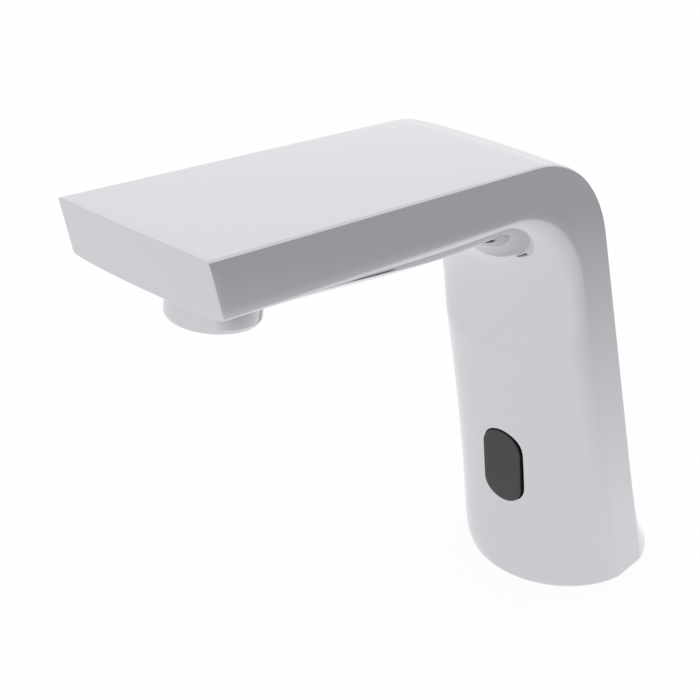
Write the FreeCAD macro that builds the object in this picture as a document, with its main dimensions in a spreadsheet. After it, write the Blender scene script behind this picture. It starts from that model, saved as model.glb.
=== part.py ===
import FreeCAD, Part
import math
import os

import Sketcher

# Sensor basin tap, millimetres, +Z up.
# The origin is the centre of the round foot on the basin, the spout points to -Y.

Vector = FreeCAD.Vector
Placement = FreeCAD.Placement
Rotation = FreeCAD.Rotation

doc = FreeCAD.newDocument("SensorTap")
sheet = doc.addObject("Spreadsheet::Sheet", "Sizes")


class Length:
    """A size with its spreadsheet formula, so that shapes can be bound to it."""

    def __init__(self, text, value):
        self.text = text
        self.value = value

    def join(self, other, sign, value):
        text = other.text if isinstance(other, Length) else repr(other)
        return Length("(" + self.text + " " + sign + " " + text + ")", value)

    def __add__(self, other):
        return self.join(other, "+", self.value + number(other))

    def __sub__(self, other):
        return self.join(other, "-", self.value - number(other))

    def __mul__(self, other):
        return self.join(other, "*", self.value * number(other))

    def __truediv__(self, other):
        return self.join(other, "/", self.value / number(other))

    def __neg__(self):
        return Length("(0 - " + self.text + ")", -self.value)


def number(item):
    """Plain number of a size or of a number."""
    return item.value if isinstance(item, Length) else float(item)


rows = []


def size(alias, value):
    """Write one driving size into the sheet and give its handle."""
    rows.append(alias)
    line = str(len(rows))
    sheet.set("A" + line, alias)
    sheet.set("B" + line, str(value))
    sheet.setAlias("B" + line, alias)
    return Length("Sizes." + alias, float(value))


NONE = Length("0", 0.0)
made = []


def finish(piece, label, place=None):
    """Name a finished piece and put it in its place."""
    piece.Label = label
    if place is not None:
        piece.Placement = place
    made.append(piece)
    return piece


def bind(item, prop, length):
    """Set a property and tie it to the sheet."""
    setattr(item, prop, length.value)
    item.setExpression(prop, length.text)


def origin_plane(body, role):
    """One of the body's own origin planes."""
    return [item for item in body.Origin.OriginFeatures if item.Role == role][0]


def outline(body, name, role, corners):
    """Closed outline of straight edges, each corner tied to the sheet."""
    sketch = body.newObject("Sketcher::SketchObject", name)
    sketch.AttachmentSupport = [(origin_plane(body, role), "")]
    sketch.MapMode = "FlatFace"
    count = len(corners)
    points = [Vector(across.value, along.value, 0) for across, along in corners]
    for index in range(count):
        sketch.addGeometry(Part.LineSegment(points[index], points[(index + 1) % count]), False)
    for index in range(count):
        sketch.addConstraint(Sketcher.Constraint("Coincident", index, 2, (index + 1) % count, 1))
    for index, (across, along) in enumerate(corners):
        for kind, axis, length in (("DistanceX", -2, across), ("DistanceY", -1, along)):
            if length.text == "0":
                sketch.addConstraint(Sketcher.Constraint("PointOnObject", index, 1, axis))
            else:
                rule = sketch.addConstraint(Sketcher.Constraint(kind, -1, 1, index, 1, length.value))
                sketch.setExpression("Constraints[" + str(rule) + "]", length.text)
    return sketch


def turned(label, corners, place=None):
    """Piece turned about its own Z axis from an outline of (radius, height) corners."""
    body = doc.addObject("PartDesign::Body", label)
    sketch = outline(body, label + "_outline", "XZ_Plane", corners)
    turn = body.newObject("PartDesign::Revolution", label + "_turned")
    turn.Profile = sketch
    turn.ReferenceAxis = (sketch, ["V_Axis"])
    turn.Angle = 360
    body.Tip = turn
    return body if place is None else finish(body, label, place)


def ring(label, inner, outer, bottom, top, place=None):
    """Plain ring or, with no inner radius, a plain disc."""
    return turned(label, ((inner, bottom), (outer, bottom), (outer, top), (inner, top)), place)


def rod(name, radius, length, place):
    """Cylinder used in a boolean, its axis along the placement's Z."""
    item = doc.addObject("Part::Cylinder", name)
    bind(item, "Radius", radius)
    bind(item, "Height", length)
    item.Placement = place
    return item


def block(name, along_x, along_y, along_z, place):
    """Box used in a boolean, its low corner at the placement's origin."""
    item = doc.addObject("Part::Box", name)
    bind(item, "Length", along_x)
    bind(item, "Width", along_y)
    bind(item, "Height", along_z)
    item.Placement = place
    return item


def fused(name, items):
    """Union of several solids."""
    item = doc.addObject("Part::MultiFuse", name)
    item.Shapes = list(items)
    return item


def cut(name, base, tool):
    """Base solid with the tool taken out."""
    item = doc.addObject("Part::Cut", name)
    item.Base = base
    item.Tool = tool
    return item


def common(name, base, tool):
    """What two solids share."""
    item = doc.addObject("Part::Common", name)
    item.Base = base
    item.Tool = tool
    return item


def shift(across, deep, up):
    """Placement moved by three sizes, unturned."""
    return Placement(Vector(number(across), number(deep), number(up)), Rotation())


def turn_x(degrees):
    """Placement turned about the X axis."""
    return Placement(Vector(0, 0, 0), Rotation(Vector(1, 0, 0), degrees))


def turn_z(degrees):
    """Placement turned about the Z axis."""
    return Placement(Vector(0, 0, 0), Rotation(Vector(0, 0, 1), degrees))


OVERRUN = size("cut_overrun", 1.0)

# Outside of the cast body
# Seen from the side it is a seven: a leaning column, a rounded bend and a rising spout.
# Its side faces are flat and spread towards the foot, and its front and underside bulge.

FOOT_RADIUS = size("foot_radius", 31.25)
FOOT_FLAT_SHARE = size("foot_flat_share", 0.976)
FOOT_HALF_WIDTH = FOOT_RADIUS * FOOT_FLAT_SHARE
TIP_HALF_WIDTH = size("tip_half_width", 25.0)
LEAN_ANGLE = size("lean_angle", 15.55)
TOP_RISE_ANGLE = size("top_rise_angle", 7.95)
UNDER_RISE_ANGLE = size("under_rise_angle", 7.7)
TIP_REACH = size("tip_reach", 192.8)
TIP_HEIGHT = size("tip_height", 189.4)
TIP_DEPTH = size("tip_depth", 15.7)
TIP_UNDERCUT_ANGLE = size("tip_undercut_angle", 13.0)
TIP_BOW = size("tip_bow", 0.5)
BEND_RADIUS = size("bend_radius", 45.0)
COLUMN_CROWN = size("column_crown", 10.8)
BEND_CROWN = size("bend_crown", 12.3)
TIP_CROWN = size("tip_crown", 1.2)
CROWN_FALL = size("crown_fall", 49.0)
FOOT_BLEND = size("foot_blend", 10.0)
CROWN_POWER = 2.2
COLUMN_STEPS = 9
BEND_STEPS = 4
SPOUT_STEPS = 8
WALL = size("body_wall", 3.0)
CROWN_INNER_SHARE = size("crown_inner_share", 0.85)
HEEL_HEIGHT = size("heel_height", 45.0)
HEEL_LIP = size("heel_lip", 0.2)
HEEL_SHARES = (0.0, 0.25, 0.5, 0.75, 1.0)
HEEL_CURVE = 1.15
HEEL_ROOT_SHARE = 0.5

# How much longer the spout is lofted before its end is trimmed to the bow.
TIP_SPARE = 2.0
TRIM_LENGTH = 800.0

# Fullness of the bulge: 2 is a round arc, more is squarer at the shoulders.
ROUND_FULLNESS = 2.0
FULLNESS = 2.4
FULLNESS_POINTS = 11


def direction(degrees):
    """Unit vector in the YZ plane, measured from +Z towards -Y."""
    return Vector(0, -math.sin(math.radians(degrees)), math.cos(math.radians(degrees)))


def meet(point, along, other, other_along):
    """Point of the YZ plane where two lines meet."""
    across = along.y * other_along.z - along.z * other_along.y
    gap = other - point
    share = (gap.y * other_along.z - gap.z * other_along.y) / across
    return point + along * share


lean = direction(LEAN_ANGLE.value)
top_run = direction(90.0 - TOP_RISE_ANGLE.value)
under_run = direction(90.0 - UNDER_RISE_ANGLE.value)
foot_chord = math.sqrt(FOOT_RADIUS.value ** 2 - FOOT_HALF_WIDTH.value ** 2)
foot_back = Vector(0, foot_chord, 0)
foot_front = Vector(0, -foot_chord, 0)
tip_top = Vector(0, -TIP_REACH.value, TIP_HEIGHT.value)
tip_down = direction(180.0 + TIP_UNDERCUT_ANGLE.value)
tip_under = tip_top + tip_down * TIP_DEPTH.value
outer_corner = meet(foot_back, lean, tip_top, top_run)
inner_corner = meet(foot_front, lean, tip_under, under_run)


def bend_point(corner, into, out, share):
    """Point of the rounded corner between two runs, at a share of its turn."""
    turn = into.getAngle(out)
    reach = BEND_RADIUS.value * math.tan(turn / 2)
    start = corner - into * reach
    inward = Vector(0, -into.z, into.y)
    if inward.dot(out) < 0:
        inward = inward * -1
    centre = start + inward * BEND_RADIUS.value
    angle = turn * share
    radial = inward * -math.cos(angle) + into * math.sin(angle)
    return centre + radial * BEND_RADIUS.value


def on_column(level):
    """Back and front edge of the side face at a height above the basin."""
    climb = level / lean.z
    return foot_back + lean * climb, foot_front + lean * climb


def on_spout(distance):
    """Top and lower edge of the side face at a distance back from the tip."""
    return tip_top - top_run * distance, tip_under - under_run * distance


def half_width(height):
    """Half the width of the body at a height: the side faces spread downwards."""
    spread = (FOOT_HALF_WIDTH.value - TIP_HALF_WIDTH.value) / TIP_HEIGHT.value
    return TIP_HALF_WIDTH.value + spread * (TIP_HEIGHT.value - height)


EDGE_SHARE = FOOT_HALF_WIDTH.value / FOOT_RADIUS.value


def bulge(share, fullness):
    """Height of the bulge at a share of the half width: 1 in the middle, 0 at the edge."""
    edge = (1 - EDGE_SHARE ** fullness) ** (1 / fullness)
    here = (1 - (EDGE_SHARE * abs(share)) ** fullness) ** (1 / fullness)
    return (here - edge) / (1 - edge)


def section(back, front, crown, fullness, inset):
    """Closed wire across the body: flat back, straight sides and a bulging front."""
    depth = (front - back).Length
    ahead = (front - back) / depth
    width = half_width(back.z) - inset
    low = inset
    rise = crown
    if inset:
        rise = crown * CROWN_INNER_SHARE.value
        depth = depth + crown - inset - rise
    corners = [back + ahead * low, back + ahead * depth]
    left = Vector(-width, 0, 0)
    right = Vector(width, 0, 0)
    points = []
    for step in range(FULLNESS_POINTS):
        share = math.cos(math.pi * step / (FULLNESS_POINTS - 1))
        points.append(corners[1] + right * share + ahead * (rise * bulge(share, fullness)))
    curve = Part.BSplineCurve()
    curve.interpolate(points)
    edges = [
        Part.LineSegment(corners[0] + left, corners[0] + right).toShape(),
        Part.LineSegment(corners[0] + right, points[0]).toShape(),
        curve.toShape(),
        Part.LineSegment(points[-1], corners[0] + left).toShape(),
    ]
    return Part.Wire(edges)


def column_crown(level):
    """Bulge of the column at a height: round at the foot, settling towards the bend."""
    foot_crown = FOOT_RADIUS.value - foot_chord
    fall = 1 + (abs(level) / CROWN_FALL.value) ** CROWN_POWER
    return COLUMN_CROWN.value + (foot_crown - COLUMN_CROWN.value) / fall


def column_fullness(level):
    """Fullness at a height: a true arc at the foot, squarer shoulders above."""
    return FULLNESS - (FULLNESS - ROUND_FULLNESS) * math.exp(-abs(level) / FOOT_BLEND.value)


def column_stations(first):
    """Stations of the column and the bend: edge points, bulge and fullness."""
    reach = BEND_RADIUS.value * math.tan(lean.getAngle(top_run) / 2)
    top = (outer_corner - lean * reach).z
    levels = [top * step / COLUMN_STEPS for step in range(COLUMN_STEPS)]
    levels[0] = first
    found = []
    for level in levels:
        back, front = on_column(level)
        lowered = max(0.0, level - (outer_corner.z - inner_corner.z) * level / top)
        front = on_column(lowered)[1] if level > 0 else front
        found.append((back, front, column_crown(lowered), column_fullness(lowered)))
    for step in range(BEND_STEPS + 1):
        share = step / BEND_STEPS
        above = bend_point(outer_corner, lean, top_run, share)
        below = bend_point(inner_corner, lean, under_run, share)
        found.append((above, below, BEND_CROWN.value, FULLNESS))
    return found


def spout_stations(last):
    """Stations of the spout from the bend out to the tip."""
    reach = BEND_RADIUS.value * math.tan(lean.getAngle(top_run) / 2)
    straight = (tip_top - outer_corner).Length - reach
    found = [column_stations(0.0)[-1]]
    for step in range(1, SPOUT_STEPS + 1):
        distance = straight * (1 - step / SPOUT_STEPS) + last * step / SPOUT_STEPS
        swell = math.sin(math.pi / 2 * distance / straight)
        crown = TIP_CROWN.value + (BEND_CROWN.value - TIP_CROWN.value) * swell
        above, below = on_spout(distance)
        found.append((above, below, crown, FULLNESS))
    return found


def lofted(found, inset, ruled):
    """Solid through the sections at the stations."""
    wires = [section(above, below, crown, fullness, inset) for above, below, crown, fullness in found]
    return Part.makeLoft(wires, True, ruled)


def heel():
    """Low ramp that rounds the back of the foot and runs out on the back of the column."""
    wires = []
    crown = FOOT_RADIUS.value - foot_chord
    for share in HEEL_SHARES:
        back, front = on_column(HEEL_HEIGHT.value * share)
        inside = back + (front - back) * HEEL_ROOT_SHARE
        rise = crown * (1 - share) ** HEEL_CURVE + HEEL_LIP.value
        wires.append(section(inside, back, rise, ROUND_FULLNESS, 0.0))
    return Part.makeLoft(wires, True, True)


def trimmed(solid):
    """Solid with its end face bowed: everything beyond a big cylinder along the face is cut off."""
    bow = TIP_BOW.value
    radius = (TIP_HALF_WIDTH.value ** 2 + bow ** 2) / (2 * bow)
    outward = Vector(0, tip_down.z, -tip_down.y)
    foot = tip_top + outward * (bow - radius) - tip_down * (TRIM_LENGTH / 2)
    return solid.common(Part.makeCylinder(radius, TRIM_LENGTH, foot, tip_down))


outside = doc.addObject("Part::Feature", "outside")
outside_run = column_stations(0.0) + spout_stations(-TIP_SPARE)[1:]
outside.Shape = trimmed(lofted(outside_run, 0.0, False)).fuse(heel())
hollow = doc.addObject("Part::Feature", "hollow")
hollow.Shape = lofted(column_stations(-OVERRUN.value) + spout_stations(WALL.value)[1:], WALL.value, False)

# Frames of the inner pieces
# COLUMN runs up the lean, OUTLET runs down the aerator's axis, WINDOW looks into the column.

OUTLET_SETBACK = size("outlet_setback", 29.04)
WINDOW_HEIGHT = size("window_height", 48.3)
WINDOW_SINK = size("window_sink", 0.38)
WINDOW_TILT = size("window_tilt", 8.4)
HALF_TURN = 180.0
QUARTER_TURN = 90.0

COLUMN = turn_x(LEAN_ANGLE.value)
outlet_origin = tip_top - top_run * OUTLET_SETBACK.value
OUTLET = Placement(outlet_origin, Rotation()).multiply(turn_x(HALF_TURN - TOP_RISE_ANGLE.value))
window_edge = on_column(WINDOW_HEIGHT.value)[1]
window_origin = window_edge + Vector(0, WINDOW_SINK.value - column_crown(WINDOW_HEIGHT.value), 0)
WINDOW = Placement(window_origin, Rotation()).multiply(turn_x(WINDOW_TILT.value))

UPWARD = Placement()
FLIPPED = turn_x(HALF_TURN)
INWARD = turn_x(-QUARTER_TURN)
OUTWARD = turn_x(QUARTER_TURN)
SIDEWAYS = Placement(Vector(0, 0, 0), Rotation(Vector(0, 1, 0), QUARTER_TURN))


def at(frame, across, deep, up, facing=UPWARD):
    """Place inside a frame, facing along one of its axes."""
    return frame.multiply(shift(across, deep, up)).multiply(facing)


def stadium(name, radius, half_length, start, stop):
    """Slot-shaped prism in the window's frame, from one depth to another."""
    span = half_length - radius
    top = rod(name + "_top", radius, stop - start, at(WINDOW, NONE, start, span, INWARD))
    low = rod(name + "_low", radius, stop - start, at(WINDOW, NONE, start, -span, INWARD))
    middle = block(name + "_middle", radius * 2, stop - start, span * 2, at(WINDOW, -radius, start, -span))
    return fused(name, (top, low, middle))


def screw(label, shank, head, head_height, length, drive, place):
    """Screw with a round drive recess, its head at the start of its axis."""
    deep = head_height * DRIVE_SHARE
    corners = (
        (NONE, deep),
        (drive, deep),
        (drive, NONE),
        (head, NONE),
        (head, head_height),
        (shank, head_height),
        (shank, head_height + length),
        (NONE, head_height + length),
    )
    return turned(label, corners, place)


def swept(points, corner, radius):
    """Round bar along a path of straight runs with rounded corners."""
    edges = []
    start = points[0]
    for before, here, after in zip(points, points[1:], points[2:]):
        into = (here - before).normalize()
        out = (after - here).normalize()
        turn = into.getAngle(out)
        reach = corner * math.tan(turn / 2)
        first = here - into * reach
        last = here + out * reach
        sideways = (out - into).normalize()
        middle = here + sideways * (corner / math.cos(turn / 2) - corner)
        edges.append(Part.LineSegment(start, first).toShape())
        edges.append(Part.Arc(first, middle, last).toShape())
        start = last
    edges.append(Part.LineSegment(start, points[-1]).toShape())
    path = Part.Wire(edges)
    face = Part.Wire([Part.Circle(points[0], points[1] - points[0], radius).toShape()])
    return path.makePipeShell([face], True, False)


def spring(label, radius, wire, start, stop, turns, place):
    """Helical spring along its own Z axis."""
    height = stop.value - start.value
    path = Part.makeHelix(height / turns, height, radius.value)
    face = Part.Wire([Part.Circle(Vector(radius.value, 0, 0), Vector(0, 1, 0), wire.value).toShape()])
    item = doc.addObject("Part::Feature", label)
    item.Shape = path.makePipeShell([face], True, True)
    return finish(item, label, place.multiply(shift(NONE, NONE, start)))


def ring_seal(label, middle, thickness, place):
    """Rubber ring of round section."""
    item = doc.addObject("Part::Torus", label)
    bind(item, "Radius1", middle)
    bind(item, "Radius2", thickness)
    return finish(item, label, place)


DRIVE_SHARE = size("drive_share", 0.55)

# Feed and valve positions used by several pieces

BASE_LIFT = size("base_insert_lift", 2.0)
BASE_TOP = size("base_insert_top", 11.0)
INLET_LEFT = size("inlet_left", 12.5)
INLET_AHEAD = size("inlet_ahead", 15.0)
STUD_RIGHT = size("stud_right", 9.0)
STUD_AHEAD = size("stud_ahead", 12.0)
CABLE_RIGHT = size("cable_right", 4.0)
CABLE_AHEAD = size("cable_ahead", 22.0)
LUG_INSET = size("lug_inset", 8.0)
LUG_OFFSET = FOOT_HALF_WIDTH - LUG_INSET
LUG_AHEAD = size("lug_ahead", 7.0)
VALVE_LEFT = size("valve_left", 6.0)
VALVE_DEPTH = size("valve_depth", 5.5)
OUTLET_RIGHT = size("outlet_tube_right", 7.0)
OUTLET_TUBE_DEPTH = size("outlet_tube_depth", 7.6)

TUBE_RADIUS = size("tube_radius", 4.0)
TUBE_BORE = size("tube_bore_radius", 3.0)
SOCKET_RADIUS = size("socket_radius", 4.05)
GROOVE_RADIUS = size("groove_radius", 4.95)
GROOVE_WIDTH = size("groove_width", 1.0)
SEAL_MIDDLE = size("tube_seal_middle", 4.47)
SEAL_WIRE = size("tube_seal_wire", 0.44)

# Base gasket
# Flat rubber pad in the underside of the foot, flush with the rim that meets the basin.

FOOT_RIM = size("foot_rim", 2.85)
GASKET_GAP = size("base_gasket_gap", 0.2)
RECESS_RADIUS = FOOT_RADIUS - FOOT_RIM
GASKET_RADIUS = RECESS_RADIUS - GASKET_GAP
RECESS_BACK = size("base_recess_back", 14.2)
GASKET_BACK = RECESS_BACK - GASKET_GAP
GASKET_INLET_HOLE = size("gasket_inlet_hole", 7.0)
GASKET_STUD_HOLE = size("gasket_stud_hole", 4.6)
GASKET_CABLE_HOLE = size("gasket_cable_hole", 4.2)


def pad(name, radius, back, bottom, top):
    """Round pad with a straight back edge."""
    disc = rod(name + "_disc", radius, top - bottom, shift(NONE, NONE, bottom))
    keep = block(name + "_keep", radius * 2, radius + back, top - bottom, shift(-radius, -radius, bottom))
    return common(name, disc, keep)


gasket_way = BASE_LIFT + OVERRUN * 2
gasket_holes = fused("base_gasket_holes", (
    rod("gasket_inlet", GASKET_INLET_HOLE, gasket_way, shift(-INLET_LEFT, -INLET_AHEAD, -OVERRUN)),
    rod("gasket_stud", GASKET_STUD_HOLE, gasket_way, shift(STUD_RIGHT, -STUD_AHEAD, -OVERRUN)),
    rod("gasket_cable", GASKET_CABLE_HOLE, gasket_way, shift(CABLE_RIGHT, -CABLE_AHEAD, -OVERRUN)),
))
base_pad = pad("base_gasket_pad", GASKET_RADIUS, GASKET_BACK, NONE, BASE_LIFT)
finish(cut("base_gasket", base_pad, gasket_holes), "base_gasket")

# Base insert
# Thick plate inside the foot: it holds the inlet, the fixing stud and the cable gland.

INSERT_GAP = size("base_insert_gap", 0.5)
INSERT_RADIUS = RECESS_RADIUS - INSERT_GAP
INSERT_HALF_WIDTH = FOOT_HALF_WIDTH - WALL - INSERT_GAP
INSERT_BACK = size("base_insert_back", 0.3)
INLET_FIT = size("inlet_fit_radius", 6.55)
STUD_BORE = size("stud_bore_radius", 3.4)
CABLE_HOLE = size("cable_hole_radius", 4.0)
LUG_SCREW_HOLE = size("lug_screw_hole", 2.2)
LUG_HEAD_HOLE = size("lug_head_hole", 3.7)
LUG_HEAD_DEPTH = size("lug_head_depth", 4.4)

plate_height = BASE_TOP - BASE_LIFT
plate_disc = rod("insert_disc", INSERT_RADIUS, plate_height, shift(NONE, NONE, BASE_LIFT))
plate_keep = block("insert_keep", INSERT_HALF_WIDTH * 2, INSERT_RADIUS + INSERT_BACK, plate_height,
                   shift(-INSERT_HALF_WIDTH, -INSERT_RADIUS, BASE_LIFT))
through = plate_height + OVERRUN * 2
below = BASE_LIFT - OVERRUN
insert_tools = [
    rod("insert_inlet", INLET_FIT, through, shift(-INLET_LEFT, -INLET_AHEAD, below)),
    rod("insert_stud", STUD_BORE, through, shift(STUD_RIGHT, -STUD_AHEAD, below)),
    rod("insert_cable", CABLE_HOLE, through, shift(CABLE_RIGHT, -CABLE_AHEAD, below)),
]
for side, offset in (("left", -LUG_OFFSET), ("right", LUG_OFFSET)):
    insert_tools.append(rod("insert_way_" + side, LUG_SCREW_HOLE, through, shift(offset, -LUG_AHEAD, below)))
    insert_tools.append(rod("insert_head_" + side, LUG_HEAD_HOLE, LUG_HEAD_DEPTH + OVERRUN,
                            shift(offset, -LUG_AHEAD, below)))
insert_plate = common("insert_plate", plate_disc, plate_keep)
finish(cut("base_insert", insert_plate, fused("insert_holes", insert_tools)), "base_insert")

# Insert screws
# Two cap screws from below that pull the plate up against the lugs of the body.

LUG_SHANK = size("lug_screw_shank", 2.0)
LUG_HEAD = size("lug_screw_head", 3.5)
LUG_HEAD_HEIGHT = size("lug_screw_head_height", 4.2)
LUG_SHANK_LENGTH = size("lug_screw_length", 11.8)
LUG_DRIVE = size("lug_screw_drive", 1.6)
LUG_START = size("lug_screw_start", 2.2)

for side, offset in (("left", -LUG_OFFSET), ("right", LUG_OFFSET)):
    screw("insert_screw_" + side, LUG_SHANK, LUG_HEAD, LUG_HEAD_HEIGHT, LUG_SHANK_LENGTH, LUG_DRIVE,
          shift(offset, -LUG_AHEAD, LUG_START))

# Inlet body
# Turned brass inlet through the plate: hose thread below, non-return valve and tube socket above.

INLET = shift(-INLET_LEFT, -INLET_AHEAD, NONE)
INLET_START = size("inlet_start", 2.2)
INLET_LOWER = size("inlet_lower_radius", 6.5)
INLET_SHOULDER = size("inlet_shoulder_radius", 7.9)
INLET_SHOULDER_TOP = size("inlet_shoulder_top", 13.5)
INLET_UPPER = size("inlet_upper_radius", 6.6)
INLET_TOP = size("inlet_top", 27.0)
HOSE_BORE = size("hose_thread_radius", 4.5)
HOSE_BORE_TOP = size("hose_thread_top", 11.6)
STRAINER_NEST = size("strainer_nest_radius", 4.1)
STRAINER_TOP = size("strainer_top", 12.7)
CHECK_SEAT = size("check_seat_radius", 2.2)
CHECK_SEAT_TOP = size("check_seat_top", 14.2)
CHECK_CHAMBER = size("check_chamber_radius", 3.9)
INLET_SOCKET = size("inlet_socket_bottom", 22.0)
INLET_GROOVE = size("inlet_groove_bottom", 24.3)

turned("inlet_body", (
    (INLET_LOWER, INLET_START),
    (INLET_LOWER, BASE_TOP),
    (INLET_SHOULDER, BASE_TOP),
    (INLET_SHOULDER, INLET_SHOULDER_TOP),
    (INLET_UPPER, INLET_SHOULDER_TOP),
    (INLET_UPPER, INLET_TOP),
    (SOCKET_RADIUS, INLET_TOP),
    (SOCKET_RADIUS, INLET_GROOVE + GROOVE_WIDTH),
    (GROOVE_RADIUS, INLET_GROOVE + GROOVE_WIDTH),
    (GROOVE_RADIUS, INLET_GROOVE),
    (SOCKET_RADIUS, INLET_GROOVE),
    (SOCKET_RADIUS, INLET_SOCKET),
    (CHECK_CHAMBER, INLET_SOCKET),
    (CHECK_CHAMBER, CHECK_SEAT_TOP),
    (CHECK_SEAT, CHECK_SEAT_TOP),
    (CHECK_SEAT, STRAINER_TOP),
    (STRAINER_NEST, STRAINER_TOP),
    (STRAINER_NEST, HOSE_BORE_TOP),
    (HOSE_BORE, HOSE_BORE_TOP),
    (HOSE_BORE, INLET_START),
), INLET)

# Inlet strainer
# Perforated disc pressed in above the hose thread that keeps grit out.

STRAINER_RADIUS = size("strainer_radius", 4.05)
STRAINER_BOTTOM = size("strainer_bottom", 11.9)
STRAINER_HOLE = size("strainer_hole_radius", 0.7)
STRAINER_PITCH = size("strainer_pitch", 2.4)
STRAINER_COUNT = 6

strainer_disc = ring("strainer_disc", NONE, STRAINER_RADIUS, STRAINER_BOTTOM, STRAINER_TOP, None)


def hole_circle(name, radius, pitch, count, bottom, top, frame):
    """Through holes on a circle, with one in the middle."""
    tall = top - bottom + OVERRUN * 2
    tools = [rod(name + "_0", radius, tall, at(frame, NONE, NONE, bottom - OVERRUN))]
    for index in range(count):
        angle = math.radians(360.0 * index / count)
        across = pitch * round(math.cos(angle), 6)
        deep = pitch * round(math.sin(angle), 6)
        place = at(frame, across, deep, bottom - OVERRUN)
        tools.append(rod(name + "_" + str(index + 1), radius, tall, place))
    return tools


strainer_holes = fused("strainer_holes", hole_circle("strainer_hole", STRAINER_HOLE, STRAINER_PITCH,
                                                     STRAINER_COUNT, STRAINER_BOTTOM, STRAINER_TOP, UPWARD))
finish(cut("inlet_strainer", strainer_disc, strainer_holes), "inlet_strainer", INLET)

# Check poppet, spring and retainer
# Non-return valve: the water lifts the poppet off its seat and the spring puts it back.

POPPET_HEAD = size("poppet_head_radius", 3.3)
POPPET_HEAD_TOP = size("poppet_head_top", 15.6)
POPPET_STEM = size("poppet_stem_radius", 1.1)
POPPET_TOP = size("poppet_top", 21.2)
RETAINER_RADIUS = size("retainer_radius", 3.85)
RETAINER_BOTTOM = size("retainer_bottom", 20.2)
RETAINER_GUIDE = size("retainer_guide_radius", 1.15)
RETAINER_HOLE = size("retainer_hole_radius", 0.6)
RETAINER_PITCH = size("retainer_pitch", 2.2)
RETAINER_COUNT = 6
CHECK_SPRING_RADIUS = size("check_spring_radius", 2.1)
CHECK_SPRING_WIRE = size("check_spring_wire", 0.25)
CHECK_SPRING_START = size("check_spring_start", 15.85)
CHECK_SPRING_STOP = size("check_spring_stop", 19.95)
CHECK_SPRING_TURNS = 4.0

turned("check_poppet", (
    (NONE, CHECK_SEAT_TOP),
    (POPPET_HEAD, CHECK_SEAT_TOP),
    (POPPET_HEAD, POPPET_HEAD_TOP),
    (POPPET_STEM, POPPET_HEAD_TOP),
    (POPPET_STEM, POPPET_TOP),
    (NONE, POPPET_TOP),
), INLET)
spring("check_spring", CHECK_SPRING_RADIUS, CHECK_SPRING_WIRE, CHECK_SPRING_START, CHECK_SPRING_STOP,
       CHECK_SPRING_TURNS, INLET)
retainer_disc = ring("retainer_disc", RETAINER_GUIDE, RETAINER_RADIUS, RETAINER_BOTTOM, INLET_SOCKET, None)
retainer_holes = fused("retainer_holes", hole_circle("retainer_hole", RETAINER_HOLE, RETAINER_PITCH,
                                                     RETAINER_COUNT, RETAINER_BOTTOM, INLET_SOCKET, UPWARD))
finish(cut("check_retainer", retainer_disc, retainer_holes), "check_retainer", INLET)

# Valve body
# Brass block of the diaphragm valve: water comes up on the left and leaves on the right.

BLOCK_LEFT = size("valve_block_left", 17.95)
BLOCK_WIDTH = size("valve_block_width", 30.4)
BLOCK_AHEAD = size("valve_block_ahead", 13.25)
BLOCK_DEPTH = size("valve_block_depth", 15.5)
BLOCK_BOTTOM = size("valve_block_bottom", 70.0)
BLOCK_TOP = size("valve_block_top", 88.0)
BLOCK_CHAMFER = size("valve_block_chamfer", 1.8)
VALVE_SOCKET_TOP = size("valve_socket_top", 76.0)
VALVE_GROOVE = size("valve_groove_bottom", 72.2)
RISER_LEFT = size("riser_left", 10.8)
RISER_RADIUS = size("riser_radius", 1.0)
ANNULUS_INNER = size("annulus_inner_radius", 3.6)
ANNULUS_OUTER = size("annulus_outer_radius", 6.0)
ANNULUS_BOTTOM = size("annulus_bottom", 83.0)
SEAT_TOP = size("seat_top", 86.8)
SEAT_BORE = size("seat_bore_radius", 2.5)
SEAT_BORE_BOTTOM = size("seat_bore_bottom", 78.0)
RIM_RECESS = size("rim_recess_radius", 7.2)
CHANNEL_RADIUS = size("channel_radius", 1.8)
CHANNEL_HEIGHT = size("channel_height", 80.0)
OUT_RISER_RADIUS = size("out_riser_radius", 2.5)
OUT_SOCKET_BOTTOM = size("out_socket_bottom", 82.0)
OUT_GROOVE = size("out_groove_bottom", 84.2)
VALVE_SCREW_HOLE = size("valve_screw_hole", 1.35)
VALVE_SCREW_HEIGHT = BLOCK_BOTTOM + size("valve_screw_margin", 3.6)
VALVE_SCREW_SPOTS = (
    ("left", size("valve_screw_left_x", -3.0), VALVE_SCREW_HEIGHT),
    ("right", size("valve_screw_right_x", 9.0), VALVE_SCREW_HEIGHT),
)
BONNET_SCREW_ACROSS = size("bonnet_screw_across", 6.8)
BONNET_SCREW_DEEP = size("bonnet_screw_deep", 6.0)
BONNET_SCREW_HOLE = size("bonnet_screw_hole", 1.05)
BONNET_SCREW_BOTTOM = size("bonnet_screw_bottom", 83.8)
VALVE_RISE = size("valve_rise", 8.0)
UPPER = at(COLUMN, NONE, NONE, VALVE_RISE)
VALVE = at(UPPER, -VALVE_LEFT, -VALVE_DEPTH, NONE)

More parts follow.
